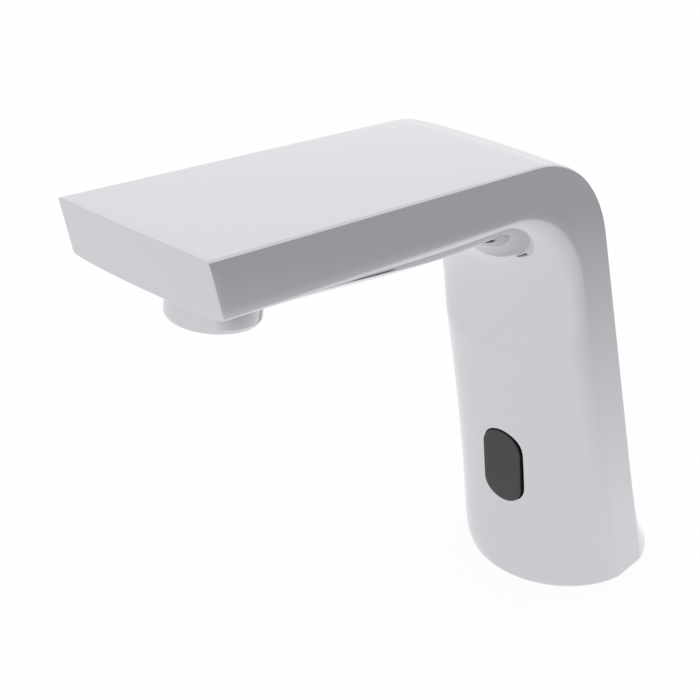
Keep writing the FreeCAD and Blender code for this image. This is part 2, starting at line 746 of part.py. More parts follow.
valve_block = block("valve_block", BLOCK_WIDTH, BLOCK_DEPTH, BLOCK_TOP - BLOCK_BOTTOM,
                    at(UPPER, -BLOCK_LEFT, -BLOCK_AHEAD, BLOCK_BOTTOM))
valve_ring = turned("valve_ring_space", (
    (ANNULUS_INNER, ANNULUS_BOTTOM),
    (ANNULUS_OUTER, ANNULUS_BOTTOM),
    (ANNULUS_OUTER, SEAT_TOP),
    (RIM_RECESS, SEAT_TOP),
    (RIM_RECESS, BLOCK_TOP + OVERRUN),
    (NONE, BLOCK_TOP + OVERRUN),
    (NONE, SEAT_TOP),
    (ANNULUS_INNER, SEAT_TOP),
))
valve_ring.Placement = VALVE
chamfer_side = BLOCK_CHAMFER * math.sqrt(2)
chamfer_spot = at(UPPER, -BLOCK_LEFT, -BLOCK_AHEAD, BLOCK_BOTTOM - OVERRUN, turn_z(HALF_TURN / 4))
valve_tools = [
    valve_ring,
    block("valve_chamfer", chamfer_side, chamfer_side, BLOCK_TOP - BLOCK_BOTTOM + OVERRUN * 2,
          at(chamfer_spot, -chamfer_side / 2, -chamfer_side / 2, NONE)),
    rod("valve_socket", SOCKET_RADIUS, VALVE_SOCKET_TOP - BLOCK_BOTTOM + OVERRUN,
        at(UPPER, -INLET_LEFT, -VALVE_DEPTH, BLOCK_BOTTOM - OVERRUN)),
    rod("valve_socket_groove", GROOVE_RADIUS, GROOVE_WIDTH,
        at(UPPER, -INLET_LEFT, -VALVE_DEPTH, VALVE_GROOVE)),
    rod("valve_riser", RISER_RADIUS, ANNULUS_BOTTOM - VALVE_SOCKET_TOP + OVERRUN * 2,
        at(UPPER, -RISER_LEFT, -VALVE_DEPTH, VALVE_SOCKET_TOP - OVERRUN)),
    rod("valve_seat_bore", SEAT_BORE, SEAT_TOP - SEAT_BORE_BOTTOM + OVERRUN,
        at(UPPER, -VALVE_LEFT, -VALVE_DEPTH, SEAT_BORE_BOTTOM)),
    rod("valve_channel", CHANNEL_RADIUS, VALVE_LEFT + OUTLET_RIGHT,
        at(UPPER, -VALVE_LEFT, -VALVE_DEPTH, CHANNEL_HEIGHT, SIDEWAYS)),
    rod("valve_out_riser", OUT_RISER_RADIUS, OUT_SOCKET_BOTTOM - SEAT_BORE_BOTTOM + OVERRUN,
        at(UPPER, OUTLET_RIGHT, -VALVE_DEPTH, SEAT_BORE_BOTTOM)),
    rod("valve_out_socket", SOCKET_RADIUS, BLOCK_TOP - OUT_SOCKET_BOTTOM + OVERRUN,
        at(UPPER, OUTLET_RIGHT, -VALVE_DEPTH, OUT_SOCKET_BOTTOM)),
    rod("valve_out_groove", GROOVE_RADIUS, GROOVE_WIDTH, at(UPPER, OUTLET_RIGHT, -VALVE_DEPTH, OUT_GROOVE)),
]
for side, across, height in VALVE_SCREW_SPOTS:
    valve_tools.append(rod("valve_screw_way_" + side, VALVE_SCREW_HOLE, BLOCK_DEPTH + OVERRUN * 2,
                           at(UPPER, across, -BLOCK_AHEAD - OVERRUN, height, INWARD)))
bonnet_spots = []
for name, across, deep in (("one", -1, -1), ("two", 1, -1), ("three", 1, 1), ("four", -1, 1)):
    bonnet_spots.append((name, BONNET_SCREW_ACROSS * across, BONNET_SCREW_DEEP * deep))
for name, across, deep in bonnet_spots:
    valve_tools.append(rod("valve_tapping_" + name, BONNET_SCREW_HOLE,
                           BLOCK_TOP - BONNET_SCREW_BOTTOM + OVERRUN,
                           at(VALVE, across, deep, BONNET_SCREW_BOTTOM)))
finish(cut("valve_body", valve_block, fused("valve_spaces", valve_tools)), "valve_body")

# Diaphragm and its plate
# Rubber ring clamped at its rim, with a stiff hub that closes the seat and carries the pilot hole.

DIAPHRAGM_HOLE = size("diaphragm_hole_radius", 2.35)
DIAPHRAGM_RADIUS = size("diaphragm_radius", 7.1)
HUB_RADIUS = size("hub_radius", 2.3)
HUB_BOTTOM = size("hub_bottom", 86.9)
HUB_DISC_RADIUS = size("hub_disc_radius", 4.4)
HUB_DISC_TOP = size("hub_disc_top", 89.0)
PILOT_RADIUS = size("pilot_radius", 0.5)

ring("diaphragm", DIAPHRAGM_HOLE, DIAPHRAGM_RADIUS, SEAT_TOP, BLOCK_TOP, VALVE)
turned("diaphragm_plate", (
    (PILOT_RADIUS, HUB_BOTTOM),
    (HUB_RADIUS, HUB_BOTTOM),
    (HUB_RADIUS, BLOCK_TOP),
    (HUB_DISC_RADIUS, BLOCK_TOP),
    (HUB_DISC_RADIUS, HUB_DISC_TOP),
    (PILOT_RADIUS, HUB_DISC_TOP),
), VALVE)

# Valve bonnet
# Flange over the control chamber with the closed tube that the plunger slides in.

FLANGE_HALF_WIDTH = size("bonnet_half_width", 8.6)
FLANGE_TOP = size("bonnet_flange_top", 92.0)
CONTROL_RADIUS = size("control_chamber_radius", 6.0)
CONTROL_TOP = size("control_chamber_top", 91.0)
GUIDE_OUTER = size("guide_tube_radius", 4.5)
GUIDE_BORE = size("guide_bore_radius", 4.0)
GUIDE_BORE_TOP = size("guide_bore_top", 112.0)
GUIDE_TOP = size("guide_tube_top", 116.0)

flange = block("bonnet_flange", FLANGE_HALF_WIDTH * 2, BLOCK_DEPTH, FLANGE_TOP - BLOCK_TOP,
               at(UPPER, -VALVE_LEFT - FLANGE_HALF_WIDTH, -BLOCK_AHEAD, BLOCK_TOP))
guide = rod("bonnet_guide", GUIDE_OUTER, GUIDE_TOP - CONTROL_TOP, at(VALVE, NONE, NONE, CONTROL_TOP))
bonnet_tools = [
    rod("bonnet_chamber", CONTROL_RADIUS, CONTROL_TOP - BLOCK_TOP + OVERRUN,
        at(VALVE, NONE, NONE, BLOCK_TOP - OVERRUN)),
    rod("bonnet_bore", GUIDE_BORE, GUIDE_BORE_TOP - BLOCK_TOP, at(VALVE, NONE, NONE, BLOCK_TOP)),
]
for name, across, deep in bonnet_spots:
    bonnet_tools.append(rod("bonnet_way_" + name, BONNET_SCREW_HOLE, FLANGE_TOP - BLOCK_TOP + OVERRUN * 2,
                            at(VALVE, across, deep, BLOCK_TOP - OVERRUN)))
finish(cut("valve_bonnet", fused("bonnet_solid", (flange, guide)), fused("bonnet_spaces", bonnet_tools)),
       "valve_bonnet")

# Bonnet screws
# Four small screws that clamp the diaphragm's rim between bonnet and block.

BONNET_SCREW_SHANK = size("bonnet_screw_shank", 1.0)
BONNET_SCREW_HEAD = size("bonnet_screw_head", 1.7)
BONNET_SCREW_HEAD_HEIGHT = size("bonnet_screw_head_height", 1.2)
BONNET_SCREW_LENGTH = size("bonnet_screw_length", 8.0)
BONNET_SCREW_DRIVE = size("bonnet_screw_drive", 0.7)

for name, across, deep in bonnet_spots:
    screw("bonnet_screw_" + name, BONNET_SCREW_SHANK, BONNET_SCREW_HEAD, BONNET_SCREW_HEAD_HEIGHT,
          BONNET_SCREW_LENGTH, BONNET_SCREW_DRIVE,
          at(VALVE, across, deep, FLANGE_TOP + BONNET_SCREW_HEAD_HEIGHT, FLIPPED))

# Plunger, its seal and its spring
# The coil lifts the steel plunger off the pilot hole, and the spring pushes it back.

PLUNGER_RADIUS = size("plunger_radius", 3.92)
PLUNGER_BOTTOM = size("plunger_bottom", 90.0)
PLUNGER_TOP = size("plunger_top", 110.0)
POCKET_RADIUS = size("plunger_pocket_radius", 2.7)
POCKET_BOTTOM = size("plunger_pocket_bottom", 103.0)
TIP_SEAL_RADIUS = size("plunger_seal_radius", 1.6)
PLUNGER_SPRING_RADIUS = size("plunger_spring_radius", 2.2)
PLUNGER_SPRING_WIRE = size("plunger_spring_wire", 0.25)
PLUNGER_SPRING_START = size("plunger_spring_start", 103.25)
PLUNGER_SPRING_STOP = size("plunger_spring_stop", 111.75)
PLUNGER_SPRING_TURNS = 6.0

turned("plunger", (
    (NONE, PLUNGER_BOTTOM),
    (PLUNGER_RADIUS, PLUNGER_BOTTOM),
    (PLUNGER_RADIUS, PLUNGER_TOP),
    (POCKET_RADIUS, PLUNGER_TOP),
    (POCKET_RADIUS, POCKET_BOTTOM),
    (NONE, POCKET_BOTTOM),
), VALVE)
ring("plunger_seal", NONE, TIP_SEAL_RADIUS, HUB_DISC_TOP, PLUNGER_BOTTOM, VALVE)
spring("plunger_spring", PLUNGER_SPRING_RADIUS, PLUNGER_SPRING_WIRE, PLUNGER_SPRING_START,
       PLUNGER_SPRING_STOP, PLUNGER_SPRING_TURNS, VALVE)

# Coil: bobbin, winding, steel case and clip
# They sit round the guide tube and pull the plunger when the sensor switches them on.

BOBBIN_BORE = size("bobbin_bore_radius", 4.6)
BOBBIN_BARREL = size("bobbin_barrel_radius", 5.2)
BOBBIN_FLANGE = size("bobbin_flange_radius", 7.6)
BOBBIN_BOTTOM = size("bobbin_bottom", 94.0)
BOBBIN_TOP = size("bobbin_top", 112.0)
BOBBIN_EDGE = size("bobbin_flange_thickness", 1.0)
WINDING_RADIUS = size("winding_radius", 7.3)
WINDING_GAP = size("winding_gap", 0.05)
CASE_RADIUS = size("case_radius", 8.5)
CASE_BORE = size("case_bore_radius", 7.7)
CASE_BOTTOM = size("case_bottom", 93.6)
CASE_LID = size("case_lid_bottom", 112.2)
CASE_TOP = size("case_top", 113.5)
CASE_CHAMFER = size("case_chamfer", 0.7)
CLIP_BORE = size("clip_bore_radius", 4.52)
CLIP_RADIUS = size("clip_radius", 6.0)
CLIP_TOP = size("clip_top", 114.5)

turned("coil_bobbin", (
    (BOBBIN_BORE, BOBBIN_BOTTOM),
    (BOBBIN_FLANGE, BOBBIN_BOTTOM),
    (BOBBIN_FLANGE, BOBBIN_BOTTOM + BOBBIN_EDGE),
    (BOBBIN_BARREL, BOBBIN_BOTTOM + BOBBIN_EDGE),
    (BOBBIN_BARREL, BOBBIN_TOP - BOBBIN_EDGE),
    (BOBBIN_FLANGE, BOBBIN_TOP - BOBBIN_EDGE),
    (BOBBIN_FLANGE, BOBBIN_TOP),
    (BOBBIN_BORE, BOBBIN_TOP),
), VALVE)
ring("coil_winding", BOBBIN_BARREL + WINDING_GAP, WINDING_RADIUS, BOBBIN_BOTTOM + BOBBIN_EDGE + WINDING_GAP,
     BOBBIN_TOP - BOBBIN_EDGE - WINDING_GAP, VALVE)
turned("coil_case", (
    (CASE_BORE, CASE_BOTTOM),
    (CASE_RADIUS, CASE_BOTTOM),
    (CASE_RADIUS, CASE_TOP - CASE_CHAMFER),
    (CASE_RADIUS - CASE_CHAMFER, CASE_TOP),
    (BOBBIN_BORE, CASE_TOP),
    (BOBBIN_BORE, CASE_LID),
    (CASE_BORE, CASE_LID),
), VALVE)
ring("coil_clip", CLIP_BORE, CLIP_RADIUS, CASE_TOP, CLIP_TOP, VALVE)

# Valve screws
# Two screws that hold the valve block to the bosses on the back wall of the column.

VALVE_SCREW_SHANK = size("valve_screw_shank", 1.25)
VALVE_SCREW_HEAD = size("valve_screw_head", 2.2)
VALVE_SCREW_HEAD_HEIGHT = size("valve_screw_head_height", 1.6)
VALVE_SCREW_LENGTH = size("valve_screw_length", 18.6)
VALVE_SCREW_DRIVE = size("valve_screw_drive", 1.0)

for side, across, height in VALVE_SCREW_SPOTS:
    screw("valve_screw_" + side, VALVE_SCREW_SHANK, VALVE_SCREW_HEAD, VALVE_SCREW_HEAD_HEIGHT,
          VALVE_SCREW_LENGTH, VALVE_SCREW_DRIVE,
          at(UPPER, across, -BLOCK_AHEAD - VALVE_SCREW_HEAD_HEIGHT, height, INWARD))

# Tubes
# Bent copper tubes from the inlet to the valve, and from the valve along the spout to the outlet.

TUBE_GAP = size("tube_end_gap", 0.2)
INLET_TUBE_BEND = size("inlet_tube_bend", 14.0)
OUTLET_TUBE_BEND = size("outlet_tube_bend", 30.0)
OUT_SOCKET_DEPTH = size("outlet_socket_depth", 6.0)
OUT_SOCKET_REACH = size("outlet_socket_reach", 14.0)


def tube(label, points, corner):
    """Bent tube with its bore."""
    item = doc.addObject("Part::Feature", label)
    ahead = (points[-1] - points[-2]).normalize() * OVERRUN.value
    behind = (points[0] - points[1]).normalize() * OVERRUN.value
    longer = [points[0] + behind] + points[1:-1] + [points[-1] + ahead]
    bore = swept(longer, corner.value, TUBE_BORE.value)
    item.Shape = swept(points, corner.value, TUBE_RADIUS.value).cut(bore)
    return finish(item, label)


inlet_low = INLET.multVec(Vector(0, 0, INLET_SOCKET.value))
inlet_high = UPPER.multVec(Vector(-INLET_LEFT.value, -VALVE_DEPTH.value, (VALVE_SOCKET_TOP - TUBE_GAP).value))
inlet_corner = meet(inlet_low, Vector(0, 0, 1), inlet_high, lean)
tube("inlet_tube", [inlet_low, inlet_corner, inlet_high], INLET_TUBE_BEND)

out_low = UPPER.multVec(Vector(OUTLET_RIGHT.value, -VALVE_DEPTH.value, (OUT_SOCKET_BOTTOM + TUBE_GAP).value))
out_end = -(OUT_SOCKET_DEPTH + TUBE_GAP).value
out_high = OUTLET.multVec(Vector(OUTLET_RIGHT.value, out_end, OUTLET_TUBE_DEPTH.value))
out_corner = meet(out_low, lean, out_high, top_run)
tube("outlet_tube", [out_low, out_corner, out_high], OUTLET_TUBE_BEND)

# Tube seals
# Rubber rings in the four sockets that the tube ends slide into.

OUT_GROOVE_REACH = size("outlet_groove_reach", 9.0)
half_groove = GROOVE_WIDTH / 2
ring_seal("inlet_lower_seal", SEAL_MIDDLE, SEAL_WIRE, at(INLET, NONE, NONE, INLET_GROOVE + half_groove))
ring_seal("inlet_upper_seal", SEAL_MIDDLE, SEAL_WIRE,
          at(UPPER, -INLET_LEFT, -VALVE_DEPTH, VALVE_GROOVE + half_groove))
ring_seal("outlet_lower_seal", SEAL_MIDDLE, SEAL_WIRE,
          at(UPPER, OUTLET_RIGHT, -VALVE_DEPTH, OUT_GROOVE + half_groove))
ring_seal("outlet_upper_seal", SEAL_MIDDLE, SEAL_WIRE,
          at(OUTLET, OUTLET_RIGHT, -OUT_GROOVE_REACH - half_groove, OUTLET_TUBE_DEPTH, OUTWARD))

# Outlet nipple
# Threaded brass nipple pressed into the spout, the male end of a standard aerator thread.

NIPPLE_UPPER = size("nipple_upper_radius", 9.0)
NIPPLE_TOP = size("nipple_top", 12.0)
NIPPLE_SHOULDER = size("nipple_shoulder", 18.9)
NIPPLE_THREAD = size("nipple_thread_radius", 10.9)
NIPPLE_END = size("nipple_end", 25.5)
NIPPLE_BORE = size("nipple_bore_radius", 8.0)

turned("outlet_nipple", (
    (NIPPLE_BORE, NIPPLE_TOP),
    (NIPPLE_UPPER, NIPPLE_TOP),
    (NIPPLE_UPPER, NIPPLE_SHOULDER),
    (NIPPLE_THREAD, NIPPLE_SHOULDER),
    (NIPPLE_THREAD, NIPPLE_END),
    (NIPPLE_BORE, NIPPLE_END),
), OUTLET)

# Aerator housing
# Chromed ring that screws onto the nipple and holds the insert by its lip.

HOUSING_RADIUS = size("housing_radius", 12.0)
HOUSING_TOP = size("housing_top", 19.7)
HOUSING_END = size("housing_end", 28.21)
HOUSING_CHAMFER = size("housing_chamfer", 0.8)
HOUSING_THREAD = size("housing_thread_radius", 10.95)
HOUSING_BORE = size("housing_bore_radius", 10.5)
HOUSING_LIP = size("housing_lip_radius", 9.0)
HOUSING_LIP_TOP = size("housing_lip_top", 27.5)

turned("aerator_housing", (
    (HOUSING_THREAD, HOUSING_TOP),
    (HOUSING_RADIUS, HOUSING_TOP),
    (HOUSING_RADIUS, HOUSING_END - HOUSING_CHAMFER),
    (HOUSING_RADIUS - HOUSING_CHAMFER, HOUSING_END),
    (HOUSING_LIP, HOUSING_END),
    (HOUSING_LIP, HOUSING_LIP_TOP),
    (HOUSING_BORE, HOUSING_LIP_TOP),
    (HOUSING_BORE, NIPPLE_END),
    (HOUSING_THREAD, NIPPLE_END),
), OUTLET)

# Aerator insert, gasket and screen
# Plastic cup with a face full of small holes, a sealing washer and a mesh disc on top.

INSERT_FACE_RADIUS = size("aerator_face_radius", 10.3)
INSERT_FACE_TOP = size("aerator_face_top", 26.3)
INSERT_FACE_END = HOUSING_LIP_TOP - size("aerator_face_gap", 0.05)
INSERT_CUP_RADIUS = size("aerator_cup_radius", 7.8)
INSERT_CUP_BORE = size("aerator_cup_bore", 6.9)
INSERT_CUP_TOP = size("aerator_cup_top", 22.5)
FACE_HOLE = size("aerator_hole_radius", 0.75)
FACE_PITCH_INNER = size("aerator_pitch_inner", 2.7)
FACE_PITCH_OUTER = size("aerator_pitch_outer", 5.4)
FACE_COUNT_INNER = 6
FACE_COUNT_OUTER = 12
WASHER_BORE = size("aerator_gasket_bore", 8.1)
WASHER_RADIUS = size("aerator_gasket_radius", 10.4)
SCREEN_RADIUS = size("screen_radius", 7.7)
SCREEN_TOP = size("screen_top", 22.1)
SCREEN_HOLE = size("screen_hole_radius", 0.5)
SCREEN_PITCH = size("screen_pitch", 3.6)
SCREEN_COUNT = 10

insert_cup = turned("aerator_cup", (
    (NONE, INSERT_FACE_TOP),
    (INSERT_CUP_BORE, INSERT_FACE_TOP),
    (INSERT_CUP_BORE, INSERT_CUP_TOP),
    (INSERT_CUP_RADIUS, INSERT_CUP_TOP),
    (INSERT_CUP_RADIUS, INSERT_FACE_TOP),
    (INSERT_FACE_RADIUS, INSERT_FACE_TOP),
    (INSERT_FACE_RADIUS, INSERT_FACE_END),
    (NONE, INSERT_FACE_END),
))
face_tools = hole_circle("face_inner", FACE_HOLE, FACE_PITCH_INNER, FACE_COUNT_INNER, INSERT_FACE_TOP,
                         INSERT_FACE_END, UPWARD)
face_tools += hole_circle("face_outer", FACE_HOLE, FACE_PITCH_OUTER, FACE_COUNT_OUTER, INSERT_FACE_TOP,
                          INSERT_FACE_END, UPWARD)[1:]
finish(cut("aerator_insert", insert_cup, fused("face_holes", face_tools)), "aerator_insert", OUTLET)
ring("aerator_gasket", WASHER_BORE, WASHER_RADIUS, NIPPLE_END, INSERT_FACE_TOP, OUTLET)
screen_disc = ring("screen_disc", NONE, SCREEN_RADIUS, SCREEN_TOP, INSERT_CUP_TOP, None)
screen_holes = fused("screen_holes", hole_circle("screen_hole", SCREEN_HOLE, SCREEN_PITCH, SCREEN_COUNT,
                                                 SCREEN_TOP, INSERT_CUP_TOP, UPWARD))
finish(cut("aerator_screen", screen_disc, screen_holes), "aerator_screen", OUTLET)

# Sensor window
# Dark lens that stands a little proud of the front of the column, with a flange behind the wall.

LENS_RADIUS = size("lens_radius", 7.4)
LENS_HALF_LENGTH = size("lens_half_length", 14.7)
LENS_STAND = size("lens_stand", 1.5)
LENS_FLANGE_RADIUS = size("lens_flange_radius", 9.0)
LENS_FLANGE_HALF_LENGTH = size("lens_flange_half_length", 16.3)
POCKET_DEPTH = size("window_pocket_depth", 2.2)
LENS_FLANGE_DEPTH = size("lens_flange_depth", 2.7)
LENS_BACK_DEPTH = size("lens_back_depth", 3.7)
OPENING_RADIUS = size("window_opening_radius", 7.5)
OPENING_HALF_LENGTH = size("window_opening_half_length", 14.8)
WINDOW_POCKET_RADIUS = size("window_pocket_radius", 9.5)
WINDOW_POCKET_HALF_LENGTH = size("window_pocket_half_length", 16.8)

lens_front = stadium("lens_front", LENS_RADIUS, LENS_HALF_LENGTH, -LENS_STAND, LENS_BACK_DEPTH)
lens_flange = stadium("lens_flange", LENS_FLANGE_RADIUS, LENS_FLANGE_HALF_LENGTH, LENS_FLANGE_DEPTH,
                      LENS_BACK_DEPTH)
finish(fused("sensor_window", (lens_front, lens_flange)), "sensor_window")

# Sensor gasket
# Foam ring squeezed between the lens flange and the wall.

SEAL_OUTER = size("sensor_gasket_radius", 9.2)
SEAL_OUTER_LENGTH = size("sensor_gasket_half_length", 16.5)
SEAL_INNER = size("sensor_gasket_bore", 7.7)
SEAL_INNER_LENGTH = size("sensor_gasket_bore_half_length", 15.0)

seal_outer = stadium("seal_outer", SEAL_OUTER, SEAL_OUTER_LENGTH, POCKET_DEPTH, LENS_FLANGE_DEPTH)
seal_inner = stadium("seal_inner", SEAL_INNER, SEAL_INNER_LENGTH, POCKET_DEPTH - OVERRUN,
                     LENS_FLANGE_DEPTH + OVERRUN)
finish(cut("sensor_gasket", seal_outer, seal_inner), "sensor_gasket")

# Sensor housing
# Plastic tray behind the lens, with two ears that are screwed to bosses on the wall.

TRAY_HALF_WIDTH = size("tray_half_width", 8.8)
TRAY_HALF_LENGTH = size("tray_half_length", 16.6)
TRAY_BACK = size("tray_back_depth", 10.0)
TRAY_FLOOR = size("tray_floor_depth", 4.9)
TRAY_POCKET_HALF_WIDTH = size("tray_pocket_half_width", 7.6)
TRAY_POCKET_HALF_LENGTH = size("tray_pocket_half_length", 15.5)
EAR_HALF_WIDTH = size("ear_half_width", 3.2)
EAR_HALF_LENGTH = size("ear_half_length", 22.6)
EAR_BACK = size("ear_back_depth", 5.7)
EAR_SCREW_HEIGHT = size("ear_screw_height", 19.6)
EAR_HOLE = size("ear_hole_radius", 1.05)
EYE_OFFSET = size("sensor_eye_offset", 6.0)
EYE_HOLE = size("sensor_eye_hole", 2.6)

tray_solid = block("tray_solid", TRAY_HALF_WIDTH * 2, TRAY_BACK - LENS_BACK_DEPTH, TRAY_HALF_LENGTH * 2,
                   at(WINDOW, -TRAY_HALF_WIDTH, LENS_BACK_DEPTH, -TRAY_HALF_LENGTH))
tray_ears = block("tray_ears", EAR_HALF_WIDTH * 2, EAR_BACK - LENS_BACK_DEPTH, EAR_HALF_LENGTH * 2,
                  at(WINDOW, -EAR_HALF_WIDTH, LENS_BACK_DEPTH, -EAR_HALF_LENGTH))
tray_tools = [
    block("tray_pocket", TRAY_POCKET_HALF_WIDTH * 2, TRAY_BACK - TRAY_FLOOR + OVERRUN,
          TRAY_POCKET_HALF_LENGTH * 2,
          at(WINDOW, -TRAY_POCKET_HALF_WIDTH, TRAY_FLOOR, -TRAY_POCKET_HALF_LENGTH)),
]
for name, sign in (("upper", 1), ("lower", -1)):
    tray_tools.append(rod("tray_ear_hole_" + name, EAR_HOLE, EAR_BACK - LENS_BACK_DEPTH + OVERRUN * 2,
                          at(WINDOW, NONE, LENS_BACK_DEPTH - OVERRUN, EAR_SCREW_HEIGHT * sign, INWARD)))
    tray_tools.append(rod("tray_eye_" + name, EYE_HOLE, TRAY_FLOOR - LENS_BACK_DEPTH + OVERRUN * 2,
                          at(WINDOW, NONE, LENS_BACK_DEPTH - OVERRUN, EYE_OFFSET * sign, INWARD)))
finish(cut("sensor_housing", fused("tray_body", (tray_solid, tray_ears)), fused("tray_spaces", tray_tools)),
       "sensor_housing")

# Sensor board and its eyes
# Circuit board with the infrared emitter above and the receiver below.

BOARD_HALF_WIDTH = size("board_half_width", 7.5)
BOARD_HALF_LENGTH = size("board_half_length", 15.4)
BOARD_DEPTH = size("board_depth", 8.0)
BOARD_BACK = size("board_back_depth", 9.2)
EYE_RADIUS = size("sensor_eye_radius", 2.5)
EYE_FLANGE = size("sensor_eye_flange", 2.9)
EYE_FLANGE_LENGTH = size("sensor_eye_flange_length", 1.0)
EYE_SHOULDER = size("sensor_eye_shoulder", 2.2)
EYE_LENGTH = size("sensor_eye_length", 4.1)
EYE_TIP = size("sensor_eye_tip_radius", 1.2)

board = block("sensor_board", BOARD_HALF_WIDTH * 2, BOARD_BACK - BOARD_DEPTH, BOARD_HALF_LENGTH * 2,
              at(WINDOW, -BOARD_HALF_WIDTH, BOARD_DEPTH, -BOARD_HALF_LENGTH))
finish(board, "sensor_board")
for label, sign in (("ir_emitter", 1), ("ir_receiver", -1)):
    turned(label, (
        (NONE, NONE),
        (EYE_FLANGE, NONE),
        (EYE_FLANGE, EYE_FLANGE_LENGTH),
        (EYE_RADIUS, EYE_FLANGE_LENGTH),
        (EYE_RADIUS, EYE_LENGTH - EYE_TIP),
        (EYE_TIP, EYE_LENGTH),
        (NONE, EYE_LENGTH),
    ), at(WINDOW, NONE, BOARD_DEPTH, EYE_OFFSET * sign, OUTWARD))

# Sensor screws
# Two small screws through the ears of the tray.

EAR_SCREW_SHANK = size("ear_screw_shank", 1.0)
EAR_SCREW_HEAD = size("ear_screw_head", 1.9)
EAR_SCREW_HEAD_HEIGHT = size("ear_screw_head_height", 1.2)
EAR_SCREW_LENGTH = size("ear_screw_length", 4.2)
EAR_SCREW_DRIVE = size("ear_screw_drive", 0.7)

for name, sign in (("upper", 1), ("lower", -1)):
    screw("sensor_screw_" + name, EAR_SCREW_SHANK, EAR_SCREW_HEAD, EAR_SCREW_HEAD_HEIGHT, EAR_SCREW_LENGTH,
          EAR_SCREW_DRIVE,
          at(WINDOW, NONE, EAR_BACK + EAR_SCREW_HEAD_HEIGHT, EAR_SCREW_HEIGHT * sign, OUTWARD))

# Cable grommet and sensor cable
# The cable leaves through a rubber grommet in the plate and runs up to the board.

GROMMET_RADIUS = size("grommet_radius", 3.95)
GROMMET_FLANGE = size("grommet_flange_radius", 5.2)
GROMMET_TOP = size("grommet_top", 12.2)
GROMMET_BORE = size("grommet_bore_radius", 1.75)
CORD_RADIUS = size("sensor_cable_radius", 1.6)
CORD_START = size("sensor_cable_start", 2.2)
CORD_BEND = size("sensor_cable_bend", 4.0)
CORD_RISE = size("sensor_cable_rise", 18.0)
CORD_DEPTH = size("sensor_cable_depth", 13.4)
CORD_LOW = size("sensor_cable_low", 22.0)

turned("cable_grommet", (
    (GROMMET_BORE, BASE_LIFT),
    (GROMMET_RADIUS, BASE_LIFT),
    (GROMMET_RADIUS, BASE_TOP),
    (GROMMET_FLANGE, BASE_TOP),
    (GROMMET_FLANGE, GROMMET_TOP),
    (GROMMET_BORE, GROMMET_TOP),
), shift(CABLE_RIGHT, -CABLE_AHEAD, NONE))
cord_points = [
    Vector(CABLE_RIGHT.value, -CABLE_AHEAD.value, CORD_START.value),
    Vector(CABLE_RIGHT.value, -CABLE_AHEAD.value, CORD_RISE.value),
    WINDOW.multVec(Vector(CABLE_RIGHT.value, CORD_DEPTH.value, -CORD_LOW.value)),
    WINDOW.multVec(Vector(CABLE_RIGHT.value, CORD_DEPTH.value, NONE.value)),
    WINDOW.multVec(Vector(CABLE_RIGHT.value, BOARD_BACK.value, NONE.value)),
]
cord = doc.addObject("Part::Feature", "sensor_cable")
cord.Shape = swept(cord_points, CORD_BEND.value, CORD_RADIUS.value)
finish(cord, "sensor_cable")

# Body shell
# One casting: foot, column, bend and spout, with bosses inside and the openings cut through it.

LUG_RADIUS = size("lug_radius", 4.5)
LUG_TOP = size("lug_top", 20.0)
LUG_BORE = size("lug_bore_radius", 2.05)
LUG_WEB = size("lug_web", 7.0)
BOSS_RADIUS = size("outlet_boss_radius", 13.0)
BOSS_TOP = size("outlet_boss_top", 1.0)
BOSS_END = size("outlet_boss_end", 27.0)
BOSS_SIDE = size("outlet_boss_side", 13.5)
BOSS_SIDE_END = size("outlet_boss_side_end", 13.6)
VALVE_BOSS_RADIUS = size("valve_boss_radius", 3.2)
VALVE_BOSS_FACE = size("valve_boss_face", 2.25)
VALVE_BOSS_LENGTH = size("valve_boss_length", 4.2)
VALVE_BOSS_BORE = size("valve_boss_bore", 1.3)
VALVE_BOSS_BORE_LENGTH = size("valve_boss_bore_length", 3.3)
EAR_BOSS_RADIUS = size("ear_boss_radius", 2.6)
EAR_BOSS_LENGTH = size("ear_boss_length", 5.0)
EAR_BORE_LENGTH = size("ear_bore_length", 2.4)
CHAMBER_RADIUS = size("outlet_chamber_radius", 8.0)
CHAMBER_TOP = size("outlet_chamber_top", 3.5)
NIPPLE_FIT = size("nipple_fit_radius", 9.05)
SPOT_RADIUS = size("nipple_spot_radius", 11.2)
NEST_GAP = size("housing_nest_gap", 0.2)
NEST_RADIUS = HOUSING_RADIUS + NEST_GAP
NEST_TOP = HOUSING_TOP - NEST_GAP / 2
TOOL_REACH = size("tool_reach", 4.0)
TRAY_GAP = size("tray_gap", 0.3)

bosses = [
    rod("outlet_boss", BOSS_RADIUS, BOSS_END - BOSS_TOP, at(OUTLET, NONE, NONE, BOSS_TOP)),
    block("outlet_side_boss", BOSS_SIDE, OUT_SOCKET_REACH, BOSS_SIDE_END - BOSS_TOP,
          at(OUTLET, NONE, -OUT_SOCKET_REACH, BOSS_TOP)),
]
for side, sign in (("left", -1), ("right", 1)):
    spot = shift(LUG_OFFSET * sign, -LUG_AHEAD, BASE_TOP)
    bosses.append(rod("lug_" + side, LUG_RADIUS, LUG_TOP - BASE_TOP, spot))
    start = LUG_OFFSET if sign > 0 else -LUG_OFFSET - LUG_WEB
    bosses.append(block("lug_web_" + side, LUG_WEB, LUG_RADIUS * 2, LUG_TOP - BASE_TOP,
                        shift(start, -LUG_AHEAD - LUG_RADIUS, BASE_TOP)))
for side, across, height in VALVE_SCREW_SPOTS:
    bosses.append(rod("valve_boss_" + side, VALVE_BOSS_RADIUS, VALVE_BOSS_LENGTH,
                      at(UPPER, across, VALVE_BOSS_FACE, height, INWARD)))
for name, sign in (("upper", 1), ("lower", -1)):
    bosses.append(rod("ear_boss_" + name, EAR_BOSS_RADIUS, EAR_BOSS_LENGTH,
                      at(WINDOW, NONE, LENS_BACK_DEPTH - EAR_BOSS_LENGTH, EAR_SCREW_HEIGHT * sign, INWARD)))
inner_space = cut("inner_space", hollow, fused("bosses", bosses))

